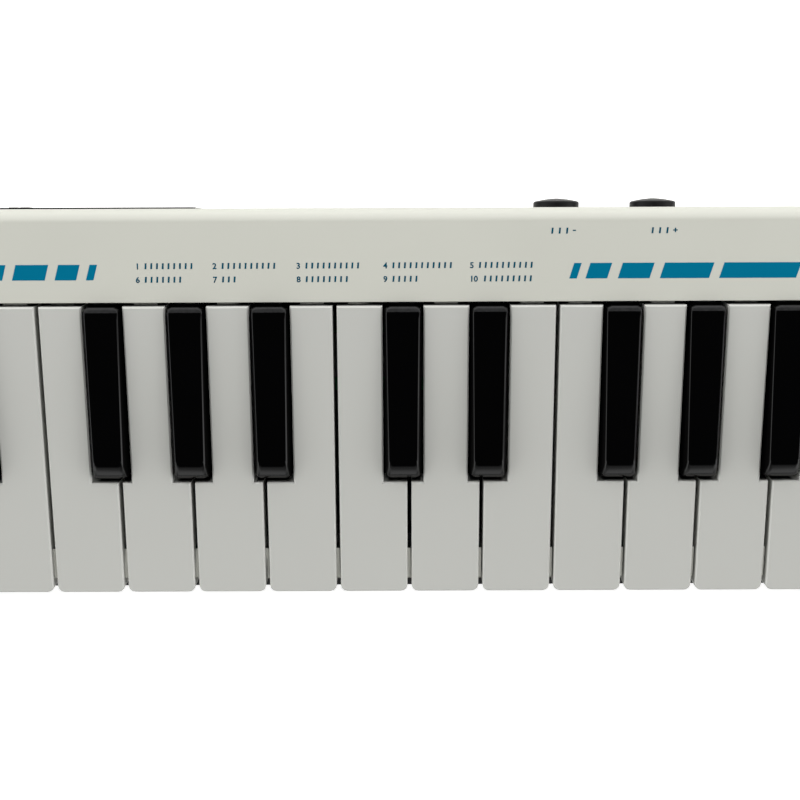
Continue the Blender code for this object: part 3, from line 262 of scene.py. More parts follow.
def polished_key():
    """Black key: polished on top, duller on its side walls, with a painted sheen of grey and a thinner
    coat on its rounded rear end.
    """
    finish = Finish("black_key_plastic", (0.0004, 0.0004, 0.0005), 0.5, Specular_IOR_Level=0.01,
                    Coat_Roughness=0.06)
    facing = finish.node("ShaderNodeSeparateXYZ", values={
        "Vector": finish.node("ShaderNodeTexCoord", output="Normal")})
    aside = facing.absolute().rising(0.80, 0.97)
    endwise = Wire(finish.tree, facing.socket.node.outputs["Y"]).absolute().rising(*DULL_END)
    x, y, z = finish.axes()
    upward = Wire(finish.tree, facing.socket.node.outputs["Z"])
    # Painted sheen: the rear end's upward faces get a grey base colour that stands for the light they
    # reflect.
    painted_sheen = y.rising(*PAINTED_SHEEN_END) * upward.rising(0.60, 0.95)
    ridge = facing.absolute().rising(0.10, 0.35)
    finish.feed("Coat Weight", COAT * (1 - aside) * (1 - 0.6 * endwise) * (1 - 0.75 * painted_sheen)
                * (1 - 0.35 * ridge))
    cloudy = finish.noise(60.0, 3.0)
    black = finish.blend(cloudy, (0.0003, 0.0003, 0.0004, 1), (0.0006, 0.0006, 0.0007, 1))
    sheen_mottle = finish.noise(900.0, 3.0)
    grey = finish.blend(sheen_mottle, (0.012, 0.012, 0.012, 1), (0.036, 0.036, 0.037, 1))
    finish.feed("Base Color", finish.blend(painted_sheen, black, grey))
    finish.feed("Roughness", 0.42 + cloudy * 0.16)
    return finish.material


COAT = 0.90
DULL_END = 0.50, 0.85
BLACK_KEY_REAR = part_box("black_key_01")[0].y + 45.12 * MM
# Where the rear end's painted sheen starts and where it is full.
PAINTED_SHEEN_END = BLACK_KEY_REAR - 1.45 * MM, BLACK_KEY_REAR - 1.2 * MM
black_key_plastic = polished_key()
print("plastics:", len(bpy.data.materials))

# %% [markdown]
# ## Metal, rubber, felt, board and webbing
# The hidden pieces get finishes too: a drawn steel rod has fine lines along its length, felt is
# all loose fibre, a circuit board has copper tracks under its green mask, and webbing is a weave.

# %% Make the other finishes
def drawn_steel():
    finish = Finish("steel", (0.60, 0.60, 0.60), 0.25, 1.0)
    lines = finish.noise(900.0, 3.0, (0.02, 1.0, 1.0))
    finish.feed("Roughness", 0.18 + lines * 0.2)
    finish.bump(lines, 0.000004)
    return finish.material


def pressed_felt():
    finish = Finish("felt", (0.015, 0.015, 0.016), 0.95, Sheen_Weight=0.2)
    fibre = finish.noise(1800.0, 5.0)
    finish.feed("Base Color", finish.blend(fibre, (0.008, 0.008, 0.009, 1), (0.03, 0.03, 0.032, 1)))
    finish.bump(fibre, 0.0002)
    return finish.material


def circuit_board():
    finish = Finish("circuit_board", (0.02, 0.16, 0.06), 0.4)
    x, y, z = finish.axes()
    tracks = ((x + z) * 1600.0 + (y * 500.0).sine() * 2.0).sine() > 0.35
    finish.feed("Base Color", finish.blend(tracks, (0.012, 0.11, 0.04, 1), (0.03, 0.20, 0.08, 1)))
    finish.bump(tracks, 0.00003)
    return finish.material


def woven_webbing():
    finish = Finish("webbing", (0.025, 0.025, 0.028), 0.9, Sheen_Weight=0.25)
    x, y, z = finish.axes()
    weave = (x * 2 * pi / 0.0016).sine() * (y * 2 * pi / 0.0012).sine()
    fibre = finish.noise(2500.0, 3.0)
    finish.feed("Base Color", finish.blend(weave * 0.35 + fibre * 0.65, (0.012, 0.012, 0.014, 1),
                                           (0.05, 0.05, 0.055, 1)))
    finish.bump(weave * 0.8 + fibre * 0.4, 0.0002)
    return finish.material


steel = drawn_steel()
felt = pressed_felt()
board = circuit_board()
webbing = woven_webbing()
grey_rubber = moulded("grey_rubber", (0.12, 0.12, 0.12), 0.75, grain=1600.0, depth=0.00004)
silicone = moulded("silicone", (0.55, 0.56, 0.56), 0.40, grain=500.0)
battery_wrap = moulded("battery_wrap", (0.02, 0.09, 0.25), 0.35, grain=700.0, depth=0.00003)
print("finishes:", len(bpy.data.materials))

# %% Give every CAD node its finish
FINISHES = {"case_plastic": case_plastic, "white_key_plastic": white_key_plastic,
            "black_key_plastic": black_key_plastic, "chassis_plastic": chassis_plastic,
            "felt": felt, "circuit_board": board, "grey_rubber": grey_rubber, "steel": steel,
            "glossy_black_plastic": gloss_black, "satin_black_plastic": satin_black,
            "battery_wrap": battery_wrap, "webbing": webbing, "silicone": silicone}
SLOTS = {entry["node"]: entry["material_slot"] for entry in frame["record"]["subparts"]}
for name, node in NODES.items():
    node.data.materials.clear()
    node.data.materials.append(FINISHES[SLOTS[name]])
print("nodes with a finish:", len(SLOTS))

# %% [markdown]
# ## Soft edges
# No moulded edge is sharp. The CAD keeps its edges plain, so each visible hard piece is copied
# from its CAD node, its triangles merged back to flat faces, its outer edges bevelled and its
# faces shaded smooth. The copy then stands for the node and rides on the same body.

# %% Copy a node with soft edges
def softened(name, width, steps=2, angle=28, smooth=40):
    node = NODES[name]
    bm = bmesh.new()
    bm.from_mesh(node.data)
    bmesh.ops.remove_doubles(bm, verts=bm.verts, dist=0.000002)
    bmesh.ops.dissolve_limit(bm, angle_limit=radians(0.5), verts=bm.verts, edges=bm.edges)
    edges = [edge for edge in bm.edges if len(edge.link_faces) == 2
             and edge.calc_face_angle_signed(0) > radians(angle)]
    bmesh.ops.bevel(bm, geom=edges, offset=width, offset_type="OFFSET", segments=steps,
                    profile=0.5, affect="EDGES", material=-1, clamp_overlap=True)
    mesh = bpy.data.meshes.new(name + "_soft")
    bm.to_mesh(mesh)
    bm.free()
    mesh.materials.append(FINISHES[SLOTS[name]])
    mesh.shade_smooth()
    mesh.set_sharp_from_angle(angle=radians(smooth))
    piece = bpy.data.objects.new(name + "_soft", mesh)
    bpy.context.scene.collection.objects.link(piece)
    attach(piece, node["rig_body"])
    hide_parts(name)
    return piece


def with_even_shading(piece):
    """Large flat faces keep their own normal next to a rounded edge."""
    weights = piece.modifiers.new("even_shading", "WEIGHTED_NORMAL")
    weights.keep_sharp = True
    return piece


def with_longer_foot(piece, name):
    """A black key whose front slope runs a little further out towards the notch."""
    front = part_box(name)[0].y
    for vert in piece.data.vertices:
        share = (front + SLOPE_LENGTH - vert.co.y) / SLOPE_LENGTH
        vert.co.y -= FOOT_REACH * max(0.0, min(1.0, share))
    return piece


SLOPE_LENGTH = 4.2 * MM
FOOT_REACH = 0.5 * MM
for name in NODES:
    if name.startswith("white_key"):
        with_even_shading(softened(name, 0.00025))
    elif name.startswith("black_key"):
        key = softened(name, 0.00022, steps=3, angle=38, smooth=30)
        with_even_shading(with_longer_foot(key, name))

# %% Soften the case and its controls
# Width of each piece's soft edge, and the angle from which an edge counts as one
SOFT_EDGES = {"upper_case": (0.00015, 35), "lower_case": (0.00015, 35), "rear_plate": (0.00010, 35),
              "power_slider": (0.00012, 35), "volume_wheel": (0.00008, 28)}
for name, (width, angle) in SOFT_EDGES.items():
    with_even_shading(softened(name, width, angle=angle))
print("soft case pieces:", len(SOFT_EDGES))

# %% [markdown]
# ## Printed marks on the panel
# Ink on a moulded panel is a film a few hundredths of a millimetre thick. Each mark is a thin
# solid that lies on the panel, so it keeps crisp edges at any distance. The stripes grow from
# short ticks to long bars on both sides of the list of ten tones, which shows plain numbers and
# bars in place of words.

# %% Lay out the print
PANEL_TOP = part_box("upper_case")[1].z
INK = 0.00003
STRIPE_LOW, STRIPE_HIGH = 34.92 * MM, 38.88 * MM
STRIPE_LEAN = 1.16 * MM
RIGHT_STRIPES = ((60.8, 62.7), (64.9, 70.4), (73.1, 81.15), (83.75, 96.25), (98.8, 118.3),
                 (121.0, 150.95), (153.75, 199.3))
LEFT_STRIPES = ((-61.75, -59.85), (-69.7, -64.25), (-80.5, -72.2), (-95.5, -83.0),
                (-117.75, -98.2), (-150.35, -120.45), (-198.5, -153.2))
teal_ink = moulded("teal_ink", (0.0005, 0.150, 0.262), 0.45, drift=0.03,
                   Specular_IOR_Level=0.02)
dark_ink = moulded("dark_teal_ink", (0.0006, 0.066, 0.112), 0.45, drift=0.05,
                   Specular_IOR_Level=0.02)


def printed(name, bm, ink):
    """A flat mesh on the panel given the thickness of ink."""
    faces = bmesh.ops.extrude_face_region(bm, geom=bm.faces[:])["geom"]
    verts = [item for item in faces if isinstance(item, bmesh.types.BMVert)]
    bmesh.ops.translate(bm, vec=(0, 0, INK), verts=verts)
    bmesh.ops.recalc_face_normals(bm, faces=bm.faces)
    mesh = bpy.data.meshes.new(name)
    bm.to_mesh(mesh)
    bm.free()
    mesh.materials.append(ink)
    piece = bpy.data.objects.new(name, mesh)
    bpy.context.scene.collection.objects.link(piece)
    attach(piece, "case")
    return piece


def add_patch(bm, left, right, low, high, lean=0.0):
    """One four-sided patch in the plane of the panel."""
    before = set(bm.verts)
    bmesh.ops.create_grid(bm, x_segments=1, y_segments=1, size=0.5)
    verts = [vert for vert in bm.verts if vert not in before]
    for vert in verts:
        up = vert.co.y + 0.5
        vert.co = Vector((left + (vert.co.x + 0.5) * (right - left) - lean * (1 - up),
                          low + up * (high - low), PANEL_TOP))


stripes = bmesh.new()
for left, right in RIGHT_STRIPES + LEFT_STRIPES:
    add_patch(stripes, left * MM, right * MM, STRIPE_LOW, STRIPE_HIGH, STRIPE_LEAN)
printed("panel_stripes", stripes, teal_ink)
print("stripes:", len(RIGHT_STRIPES) + len(LEFT_STRIPES))

# %% Number the ten tones
# Each tone's place: where its number starts and where its row of ticks ends, in millimetres.
UPPER_ROW = ((-50.2, -36.2), (-30.7, -14.75), (-9.5, 6.9), (12.5, 29.3), (34.4, 50.4))
LOWER_ROW = ((-50.3, -38.4), (-30.7, -24.4), (-9.5, 3.5), (12.5, 21.1), (34.4, 49.7))
UPPER_LOW, LOWER_LOW = 37.7, 34.25
TICK_HEIGHT = 1.5
TICK_PITCH = 1.45
TICK_WIDTH = 0.45
TICK_LEAN = 0.12


def flat_text(words, left, low, height):
    """Mesh of a line of text, flat on the panel."""
    curve = bpy.data.curves.new("words", "FONT")
    curve.body = words
    curve.size = height / 0.72
    curve.offset = height * 0.035
    curve.resolution_u = 3
    holder = bpy.data.objects.new("words", curve)
    bpy.context.scene.collection.objects.link(holder)
    bpy.context.view_layer.update()
    mesh = bpy.data.meshes.new_from_object(holder.evaluated_get(bpy.context.evaluated_depsgraph_get()))
    bpy.data.objects.remove(holder)
    mesh.transform(Matrix.Translation((left, low, PANEL_TOP)))
    return mesh


def add_ticks(bm, left, right, low, pitch=TICK_PITCH):
    """A row of short leaning ticks that fills the length of a word."""
    count = max(1, round((right - left + pitch - TICK_WIDTH) / pitch))
    for index in range(count):
        start = left + index * pitch + TICK_LEAN
        add_patch(bm, start * MM, (start + TICK_WIDTH) * MM, low * MM,
                  (low + TICK_HEIGHT) * MM, TICK_LEAN * MM)
    return count


numbers = bmesh.new()
ticks = 0
places = [(*place, UPPER_LOW) for place in UPPER_ROW] + [(*place, LOWER_LOW) for place in LOWER_ROW]
for tone, (left, right, low) in enumerate(places, 1):
    mesh = flat_text(str(tone), left * MM, low * MM, TICK_HEIGHT * MM)
    numbers.from_mesh(mesh)
    bpy.data.meshes.remove(mesh)
    ticks += add_ticks(numbers, left + (3.6 if tone > 9 else 2.3), right, low)
printed("panel_numbers", numbers, dark_ink)
print("tones numbered:", len(places), "ticks:", ticks)

# %% Mark the octave buttons
marks = bmesh.new()
for left, sign, plus in ((54.4, 60.6, False), (79.6, 86.0, True)):
    add_ticks(marks, left + 0.4, left + 4.6, 46.3, pitch=1.85)
    reach = 0.55 if plus else 0.4
    add_patch(marks, (sign - reach) * MM, (sign + reach) * MM, 46.95 * MM, 47.25 * MM)
    if plus:
        add_patch(marks, (sign - 0.15) * MM, (sign + 0.15) * MM, 47.26 * MM, 47.66 * MM)
        add_patch(marks, (sign - 0.15) * MM, (sign + 0.15) * MM, 46.54 * MM, 46.94 * MM)
printed("panel_octave_marks", marks, dark_ink)

# %% [markdown]
# ## Case screws
# Ten screws close the case from below, each in a deep counterbore. A screw head is a short disc
# with a rounded rim and a cross recess. A grid of five by five faces has a cross in its middle:
# its outer edges are bridged to a circle with as many points, and the cross is pushed inwards.

# %% Model one screw head
HEAD_RADIUS = 2.4 * MM
HEAD_HEIGHT = 1.6 * MM
HEAD_UNDER = 6.0 * MM - HEAD_HEIGHT
CROSS_ARM = 0.36 * MM
CROSS_REACH = 1.30 * MM
CROSS_DEPTH = 0.9 * MM


def screw_head():
    """A head that faces down, with its face at z = 0 and its middle on the z axis."""
    bm = bmesh.new()
    grid = bmesh.ops.create_grid(bm, x_segments=5, y_segments=5, size=2.5)["verts"]
    steps = {0: 1.7 * MM, 1: CROSS_REACH, 2: CROSS_ARM}
    for vert in grid:
        for axis in (0, 1):
            step = round(vert.co[axis] + 2.5)
            size = steps[min(step, 5 - step)]
            vert.co[axis] = -size if step < 3 else size
    for vert in grid:
        if vert.co.length > CROSS_REACH * 1.35:
            vert.co *= 1.55 * MM / vert.co.length
    rim = [edge for edge in bm.edges if edge.is_boundary]
    outer = bmesh.ops.create_circle(bm, segments=20, radius=HEAD_RADIUS)["verts"]
    bmesh.ops.rotate(bm, verts=outer, cent=(0, 0, 0), matrix=Matrix.Rotation(radians(9), 3, "Z"))
    ring = [edge for edge in bm.edges if edge.verts[0] in outer and edge.verts[1] in outer]
    bmesh.ops.bridge_loops(bm, edges=rim + ring)
    cross = [face for face in bm.faces if max(abs(v) for v in face.calc_center_median().xy)
             < CROSS_REACH and min(abs(v) for v in face.calc_center_median().xy) < CROSS_ARM]
    sunk = bmesh.ops.extrude_face_region(bm, geom=cross)["geom"]
    bmesh.ops.delete(bm, geom=cross, context="FACES_ONLY")
    verts = [item for item in sunk if isinstance(item, bmesh.types.BMVert)]
    bmesh.ops.translate(bm, verts=verts, vec=(0, 0, CROSS_DEPTH))
    bmesh.ops.scale(bm, verts=verts, vec=(0.85, 0.85, 1))
    wall = bmesh.ops.extrude_edge_only(bm, edges=[edge for edge in bm.edges if edge.is_boundary])
    verts = [item for item in wall["geom"] if isinstance(item, bmesh.types.BMVert)]
    bmesh.ops.translate(bm, verts=verts, vec=(0, 0, HEAD_HEIGHT))
    bmesh.ops.holes_fill(bm, edges=[edge for edge in bm.edges if edge.is_boundary])
    shoulder = [edge for edge in bm.edges
                if all(abs(vert.co.z) < 1e-7 and vert.co.length > HEAD_RADIUS * 0.99
                       for vert in edge.verts)]
    bmesh.ops.bevel(bm, geom=shoulder, offset=0.5 * MM, offset_type="OFFSET", segments=3,
                    profile=0.5, affect="EDGES", material=-1)
    bmesh.ops.recalc_face_normals(bm, faces=bm.faces)
    return bm


# %% Place the screws
SCREW_PLACES = [(x * MM, y * MM) for x in (-190, 10, 190) for y in (-31, 31)]
SCREW_PLACES += [(side * 225.3 * MM, y * MM) for side in (-1, 1) for y in (-43.0, 39.0)]


def new_piece(name, bm, finish, body="case", smooth=35):
    """A finished mesh, on its body and with its material slot."""
    mesh = bpy.data.meshes.new(name)
    bm.to_mesh(mesh)
    bm.free()
    mesh.materials.append(finish)
    mesh.shade_smooth()
    mesh.set_sharp_from_angle(angle=radians(smooth))
    piece = bpy.data.objects.new(name, mesh)
    bpy.context.scene.collection.objects.link(piece)
    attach(piece, body)
    return piece


for number, (x, y) in enumerate(SCREW_PLACES, 1):
    head = screw_head()
    spin = Matrix.Rotation(radians(37 * number), 4, "Z")
    head.transform(Matrix.Translation((x, y, HEAD_UNDER - 0.05 * MM)) @ spin)
    new_piece(f"case_screw_{number:02d}", head, steel)
print("screws:", len(SCREW_PLACES))

# %% [markdown]
# ## Hand strap
# A flat woven strap crosses the recess in the underside and bows towards the table. It starts as a
# flat grid as long and as wide as the webbing, bows along a curve of its own set by two heights and
# gets its thickness from the webbing's. Two rows of stitches hold each end.

# %% Weave the strap
STRAP_LOW_END, STRAP_HIGH_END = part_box("hand_strap")
STRAP_MIDDLE = (STRAP_LOW_END + STRAP_HIGH_END) / 2
STRAP_HALF = 65.0 * MM
STRAP_WIDE = 32.0 * MM
STRAP_THICK = 1.8 * MM
STRAP_SAG = 0.6 * MM, 3.4 * MM


def strap_height(along):
    """Underside of the strap at a place along it."""
    t = min(1.0, abs(along) / STRAP_HALF)
    return STRAP_SAG[0] + (STRAP_SAG[1] - STRAP_SAG[0]) * t * t


band = bmesh.new()
bmesh.ops.create_grid(band, x_segments=88, y_segments=20, size=0.5)
half_length = STRAP_HIGH_END.x - STRAP_MIDDLE.x - 0.2 * MM
for vert in band.verts:
    along = vert.co.x * 2 * half_length
    edge = abs(vert.co.y) * 2
    thin = 0.25 * MM if edge > 0.95 else 0.0
    vert.co = Vector((STRAP_MIDDLE.x + along, vert.co.y * STRAP_WIDE,
                      strap_height(along) + thin / 2))
sides = bmesh.ops.extrude_face_region(band, geom=band.faces[:])["geom"]
lifted = [item for item in sides if isinstance(item, bmesh.types.BMVert)]
for vert in lifted:
    edge = abs(vert.co.y) / (STRAP_WIDE / 2)
    vert.co.z += STRAP_THICK - (0.25 * MM if edge > 0.95 else 0.0)
bmesh.ops.recalc_face_normals(band, faces=band.faces)
strap = new_piece("hand_strap_webbing", band, webbing, smooth=50)
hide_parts("hand_strap")

# %% Stitch its ends
stitches = bmesh.new()
count = 0
for side in (-1, 1):
    for inwards in (7.0 * MM, 11.0 * MM):
        along = side * (STRAP_HALF - inwards)
        for step in range(13):
            before = set(stitches.verts)
            bmesh.ops.create_uvsphere(stitches, u_segments=8, v_segments=6, radius=0.5 * MM)
            verts = [vert for vert in stitches.verts if vert not in before]
            across = (step - 6) * 2.3 * MM
            bmesh.ops.scale(stitches, verts=verts, vec=(0.55, 1.6, 0.5))
            bmesh.ops.translate(stitches, verts=verts, vec=(
                STRAP_MIDDLE.x + along, across, strap_height(along) + 0.05 * MM))
            count += 1
thread = Finish("stitching_thread", (0.05, 0.05, 0.055), 0.8)
twist = thread.noise(4000.0, 2.0, (1.0, 0.3, 1.0))
thread.feed("Base Color", thread.blend(twist, (0.03, 0.03, 0.034, 1), (0.09, 0.09, 0.10, 1)))
thread.bump(twist, 0.00008)
new_piece("hand_strap_stitches", stitches, thread.material, smooth=80)
print("stitches:", count)

# %% [markdown]
# ## Rail strip, speaker cloth and socket contacts
# Four small pieces finish the openings. A near-black strip on the rail's sloping front edge is painted
# shade for the dark band there, black cloth hangs under the speaker's slots, the charging port has its
# tongue with gold contacts, and a plated ring lines the mouth of the headphone jack.

# %% Lay the rail strip
def add_block(bm, low, high, edge):
    """A block with bevelled edges, between two corners."""
    before = set(bm.verts)
    bmesh.ops.create_cube(bm, size=1.0)
    verts = [vert for vert in bm.verts if vert not in before]
    middle = (Vector(low) + Vector(high)) / 2
    bmesh.ops.scale(bm, verts=verts, vec=Vector(high) - Vector(low))
    bmesh.ops.translate(bm, verts=verts, vec=middle)
    edges = list({item for vert in verts for item in vert.link_edges})
    bmesh.ops.bevel(bm, geom=edges, offset=edge, offset_type="OFFSET", segments=2, profile=0.5,
                    affect="EDGES", material=-1)


CASE_FRONT = -53.0 * MM
RAIL_TOP = 21.0 * MM
SLOPE_RUN, SLOPE_FALL = 2.35 * MM, 0.6 * MM
RAIL_HALF = 209.0 * MM
slope = Vector((0, SLOPE_RUN, SLOPE_FALL))
off = Vector((0, -SLOPE_FALL, SLOPE_RUN)).normalized()
strip = bmesh.new()
bmesh.ops.create_grid(strip, x_segments=60, y_segments=2, size=0.5)
for vert in strip.verts:
    share = 0.06 + (vert.co.y + 0.5) * 0.88
    foot = Vector((vert.co.x * 2 * RAIL_HALF, CASE_FRONT, RAIL_TOP - SLOPE_FALL))
    crown = 0.10 * MM if abs(vert.co.y) < 0.1 else 0.0
    vert.co = foot + slope * share + off * (0.14 * MM + crown)
sides = bmesh.ops.extrude_face_region(strip, geom=strip.faces[:])["geom"]
low = [item for item in sides if isinstance(item, bmesh.types.BMVert)]
bmesh.ops.translate(strip, verts=low, vec=off * -0.13 * MM)
bmesh.ops.recalc_face_normals(strip, faces=strip.faces)
# Painted shade: the strip's near-black stands for the shade on the rail's front edge under the keys.
rail_shade_strip_finish = moulded("rail_painted_shade_strip", (0.012, 0.012, 0.012), 0.7, grain=1800.0, depth=0.00003)
new_piece("rail_edge_strip", strip, rail_shade_strip_finish, smooth=60)
print("rail strip:", round(2 * RAIL_HALF / MM), "mm")

# %% Hang the cloth behind the slots
SPEAKER_PLACE = (225.15 * MM, 5.0 * MM)
cloth = bmesh.new()
bmesh.ops.create_circle(cloth, cap_ends=True, cap_tris=False, segments=40, radius=12.0 * MM)
lifted = bmesh.ops.extrude_face_region(cloth, geom=cloth.faces[:])["geom"]
bmesh.ops.translate(cloth, vec=(0, 0, 0.12 * MM),
                    verts=[item for item in lifted if isinstance(item, bmesh.types.BMVert)])
bmesh.ops.translate(cloth, verts=cloth.verts, vec=(*SPEAKER_PLACE, 33.2 * MM - 2.2 * MM - 0.16 * MM))
bmesh.ops.recalc_face_normals(cloth, faces=cloth.faces)
gauze = Finish("speaker_cloth", (0.012, 0.012, 0.013), 0.9)
x, y, z = gauze.axes()
threads = (x * 2 * pi / 0.0005).sine() * (y * 2 * pi / 0.0005).sine()
gauze.feed("Base Color", gauze.blend(threads, (0.006, 0.006, 0.007, 1), (0.03, 0.03, 0.032, 1)))
gauze.bump(threads, 0.00006)
new_piece("speaker_cloth", cloth, gauze.material)

# %% Fit the socket contacts
REAR = Matrix(((1, 0, 0, 0), (0, 0.992546, 0.121869, 51.355 * MM), (0, -0.121869, 0.992546, 19.8 * MM),
               (0, 0, 0, 1)))
USB_PLACE = -159.0 * MM
JACK_PLACE = -175.0 * MM
SLIDER_PLACE = -82.0 * MM

tongue = bmesh.new()
add_block(tongue, (USB_PLACE - 3.3 * MM, -5.9 * MM, -0.35 * MM),
          (USB_PLACE + 3.3 * MM, -0.9 * MM, 0.35 * MM), 0.1 * MM)
tongue.transform(REAR)
new_piece("usb_tongue", tongue, satin_black)
contacts = bmesh.new()
for index in range(6):
    left = USB_PLACE + (index - 2.5) * 1.0 * MM
    for side in (-1, 1):
        low, high = sorted((side * 0.36 * MM, side * 0.42 * MM))
        add_block(contacts, (left - 0.3 * MM, -4.6 * MM, low), (left + 0.3 * MM, -1.3 * MM, high),
                  0.01 * MM)
contacts.transform(REAR)
gold = Finish("gold_contacts", (0.80, 0.56, 0.22), 0.3, 1.0)
scratches = gold.noise(3000.0, 3.0, (1.0, 0.1, 1.0))
gold.feed("Roughness", 0.25 + scratches * 0.2)
new_piece("usb_contacts", contacts, gold.material)
ring = bmesh.new()
for radius in (1.80, 2.35):
    bmesh.ops.create_circle(ring, segments=32, radius=radius * MM)
bmesh.ops.bridge_loops(ring, edges=ring.edges)
lifted = bmesh.ops.extrude_face_region(ring, geom=ring.faces[:])["geom"]
bmesh.ops.translate(ring, vec=(0, 0, 0.35 * MM),
                    verts=[item for item in lifted if isinstance(item, bmesh.types.BMVert)])
crest = [edge for edge in ring.edges if all(vert.co.z > 0.3 * MM for vert in edge.verts)
         and abs(edge.verts[0].co.length - edge.verts[1].co.length) < 1e-6]
bmesh.ops.bevel(ring, geom=crest, offset=0.12 * MM, offset_type="OFFSET", segments=2, profile=0.5,
                affect="EDGES", material=-1)
bmesh.ops.recalc_face_normals(ring, faces=ring.faces)
ring.transform(REAR @ Matrix.Translation((JACK_PLACE, 0.41 * MM, 0)) @ Matrix.Rotation(-pi / 2, 4, "X"))
new_piece("jack_ring", ring, steel)
print("contacts:", 12)

# %% Close the switch's slot
wings = bmesh.new()
for side in (-1, 1):
    ends = sorted((SLIDER_PLACE + side * 3.6 * MM, SLIDER_PLACE + side * 6.9 * MM))
    add_block(wings, (ends[0], -2.2 * MM, -2.5 * MM), (ends[1], -1.2 * MM, 2.5 * MM), 0.15 * MM)
wings.transform(REAR)
new_piece("slider_wings", wings, satin_black, body="power_slider")
print("wings:", 2)

# %% [markdown]
# ## Round pieces
# The buttons, the mouthpiece and the socket that holds it come out of round moulds. The CAD gives
# them 16 or 20 sides, and on dark shiny plastic each side would show. A grid rolled into a tube
# through rings that follow the same profile gives 64 sides, with every corner of the profile
# eased. Each piece stands for its node and rides on the same body.

# %% Roll a grid through rings
def eased(rings, usual=0.25):
    """A profile with a small curve in place of each corner; a fourth value sets its own size."""
    points = [Vector(ring[:3]) for ring in rings]
    sizes = [ring[3] if len(ring) > 3 else usual for ring in rings]
    result = [points[0]]
    for before, corner, after, size in zip(points, points[1:], points[2:], sizes[1:]):
        start = corner + (before - corner) * min(0.45, size / (before - corner).length)
        end = corner + (after - corner) * min(0.45, size / (after - corner).length)
        result += [start * (1 - t) ** 2 + corner * (2 * t * (1 - t)) + end * t ** 2
                   for t in (0, 0.25, 0.5, 0.75, 1)]
    return result + [points[-1]]


def rolled(rings, sides=64):
    """A skin through rings, each with its two half sizes and its place along the axis, in mm."""
    bm = bmesh.new()
    last = len(rings) - 1
    bmesh.ops.create_grid(bm, x_segments=sides, y_segments=last, size=0.5)
    for vert in bm.verts:
        turn = 2 * pi * (vert.co.x + 0.5)
        tall, wide, reach = rings[round((vert.co.y + 0.5) * last)]
        vert.co = Vector((tall * cos(turn), wide * sin(turn), reach)) * MM
    bmesh.ops.remove_doubles(bm, verts=bm.verts, dist=0.0000005)
    bmesh.ops.recalc_face_normals(bm, faces=bm.faces)
    return bm


def instead_of(node, rings, place, finish):
    """A rolled piece that stands for a node."""
    bm = rolled(eased(rings))
    bm.transform(place)
    piece = new_piece(node + "_round", bm, finish, body=NODES[node]["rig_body"], smooth=50)
    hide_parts(node)
    return piece


# %% Turn the buttons
CAP_SHAPE = (1, 0), (0.975, 0.16), (0.92, 0.32), (0.5, 0.78), (0.12, 1), (0, 1)
STEM_RADIUS, STEM_END = 1.5, -5.95
FLANGE_LEDGE, FLANGE_THICKNESS = 1.0, 1.0
# Place along the case, radius, height of the rim and of the crown, and the flange's front
BUTTONS = {"octave_down_button": (57.4, 5.9, 1.4, 2.45, -2.5),
           "octave_up_button": (82.5, 5.9, 1.4, 2.45, -2.5),
           "tone_button": (-137.0, 3.9, 0.9, 1.6, -1.2)}
for name, (x, radius, rim, crown, flange) in BUTTONS.items():
    ledge = radius + FLANGE_LEDGE
    profile = [(0, STEM_END), (STEM_RADIUS, STEM_END), (STEM_RADIUS, flange - FLANGE_THICKNESS),
               (ledge, flange - FLANGE_THICKNESS), (ledge, flange), (radius, flange)]
    profile += [(radius * across, rim + (crown - rim) * up) for across, up in CAP_SHAPE]
    place = REAR @ Matrix.Translation((x * MM, 0, 0)) @ Matrix.Rotation(-pi / 2, 4, "X")
    instead_of(name, [(r, r, reach) for r, reach in profile], place, satin_black)
print("buttons:", len(BUTTONS))

# %% Draw the mouthpiece and its socket
INLET = Matrix.Translation((-241.0 * MM, 0, 21.0 * MM)) @ Matrix.Rotation(-pi / 2, 4, "Y")
SOCKET = [(r, r, reach) for r, reach in (
    (0, -19.8), (1.8, -19.8), (1.8, -14.8), (7.0, -14.8), (7.0, 0.3), (9.5, 0.3), (9.5, 1.7),
    (5.2, 1.7), (5.2, -12.6), (0, -12.6))]
# The spigot and the collar are round, the bite is a flat oval, and the waist between is long
MOUTHPIECE = [(4.9, 4.9, -12.0), (4.9, 4.9, 2.0), (8.0, 8.0, 2.0), (8.0, 8.0, 5.0), (6.6, 6.6, 5.9),
              (5.6, 6.6, 21.0, 7.0), (4.6, 8.8, 39.0, 6.0), (4.6, 8.8, 47.1, 0.5),
              (3.7, 7.9, 48.0, 0.5), (2.7, 5.5, 48.0), (3.05, 3.4, 21.0, 7.0), (3.4, 3.4, 2.0),
              (3.4, 3.4, -12.0), (4.9, 4.9, -12.0)]
instead_of("inlet_socket", SOCKET, INLET, gloss_black)
instead_of("mouthpiece", MOUTHPIECE, INLET, gloss_black)
print("mouthpiece:", round(MOUTHPIECE[8][2] - MOUTHPIECE[0][2]), "mm long")

# %% [markdown]
# ## Camera
# The photograph looks down on the middle of the keyboard from 36 cm above it and a little behind.
# The lens and the place come from a fit of the white keys' pitch, the panel's edges and the
# black keys' fronts in the picture to the sizes of the CAD model.

# %% Place the camera
FOCAL_PIXELS = 1300
IMAGE_WIDTH = 800
TILT = radians(14.035)
ROLL = radians(-0.22)
camera_data = bpy.data.cameras.new("camera")
camera_data.sensor_width = 36
camera_data.lens = FOCAL_PIXELS / IMAGE_WIDTH * camera_data.sensor_width
camera = bpy.data.objects.new("camera", camera_data)
bpy.context.scene.collection.objects.link(camera)
right = Vector((1, 0, 0))
up = Vector((0, cos(TILT), -sin(TILT)))
forward = Vector((0, -sin(TILT), -cos(TILT)))
side = right * cos(ROLL) + up * sin(ROLL)
top = up * cos(ROLL) - right * sin(ROLL)
turn = Matrix((side, top, -forward)).transposed().to_4x4()
camera.matrix_world = Matrix.Translation((0.01661, 0.08513, 0.36043)) @ turn
bpy.context.scene.camera = camera
print("lens:", round(camera_data.lens, 2), "mm")
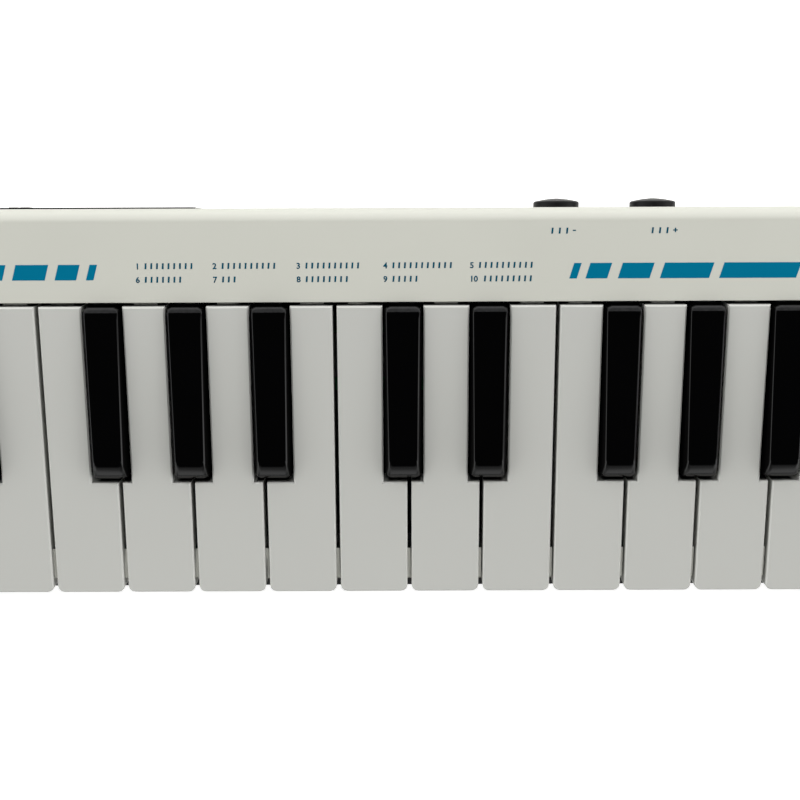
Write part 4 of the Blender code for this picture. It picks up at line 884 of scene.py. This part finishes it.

# %% [markdown]
# ## Floor and light
# A product picture on white: the floor is pale, shows as white and keeps the object's shadow.
# A sky that is bright at both sides and behind lights the keys, and the sky straight above stays dark,
# so that the polished black keys look black and only their edges catch the light.

# %% Build the floor
bm = bmesh.new()
bmesh.ops.create_grid(bm, x_segments=1, y_segments=1, size=3.0)
mesh = bpy.data.meshes.new("floor")
bm.to_mesh(mesh)
bm.free()
floor = bpy.data.objects.new("floor", mesh)
bpy.context.scene.collection.objects.link(floor)
floor.location.z = -0.0002
paper = Finish("floor_paper", (0.85, 0.85, 0.85), 0.9)
glow = paper.node("ShaderNodeEmission", values={"Color": (1, 1, 1, 1), "Strength": 0.55})
mixed = paper.node("ShaderNodeAddShader")
paper.tree.links.new(paper.shader.outputs[0], mixed.socket.node.inputs[0])
camera_ray = paper.node("ShaderNodeLightPath", output="Is Camera Ray")
faded = paper.node("ShaderNodeMixShader", values={0: camera_ray})
paper.tree.links.new(glow.socket, faded.socket.node.inputs[2])
paper.tree.links.new(faded.socket, mixed.socket.node.inputs[1])
paper.tree.links.new(mixed.socket, paper.tree.nodes["Material Output"].inputs["Surface"])
mesh.materials.append(paper.material)

# %% Light it
world = bpy.data.worlds.new("studio")
bpy.context.scene.world = world
world.use_nodes = True
sky = world.node_tree.nodes["Background"]
sky.inputs["Color"].default_value = (1, 1, 1, 1)


REAR_SKY = 2.00
FRONT_SKY = 0.34
FRONT_BAND = 0.62
SIDE_SKY = 1.88
OVERHEAD = 0.01
DARK_TOP = 0.90, 0.98
WHITE_BACKDROP = 1.0


def sky_strength():
    """Bright over the rear half, dim in front, and dark where the level tops mirror the camera."""
    tree = world.node_tree
    where = tree.nodes.new("ShaderNodeTexCoord")
    split = tree.nodes.new("ShaderNodeSeparateXYZ")
    tree.links.new(where.outputs["Generated"], split.inputs[0])
    rear = Wire(tree, split.outputs["Y"]).rising(0.0, 0.40)
    high = Wire(tree, split.outputs["Z"]).rising(0.45, 0.86)
    aside = Wire(tree, split.outputs["X"]).absolute().rising(0.45, 0.85)
    height = Wire(tree, split.outputs["Z"])
    band = height.rising(0.08, 0.24) - height.rising(0.28, 0.46)
    level = FRONT_SKY + FRONT_BAND * band + (SIDE_SKY - FRONT_SKY) * aside
    front = level + (OVERHEAD - level) * high
    around = front + rear * (REAR_SKY - front)
    top = Wire(tree, split.outputs["Z"]).rising(*DARK_TOP)
    light = around + (OVERHEAD - around) * top
    seen = Wire(tree, tree.nodes.new("ShaderNodeLightPath").outputs["Is Camera Ray"])
    tree.links.new((light + (WHITE_BACKDROP - light) * seen).socket, sky.inputs["Strength"])


sky_strength()


bpy.context.scene.view_settings.view_transform = "Standard"
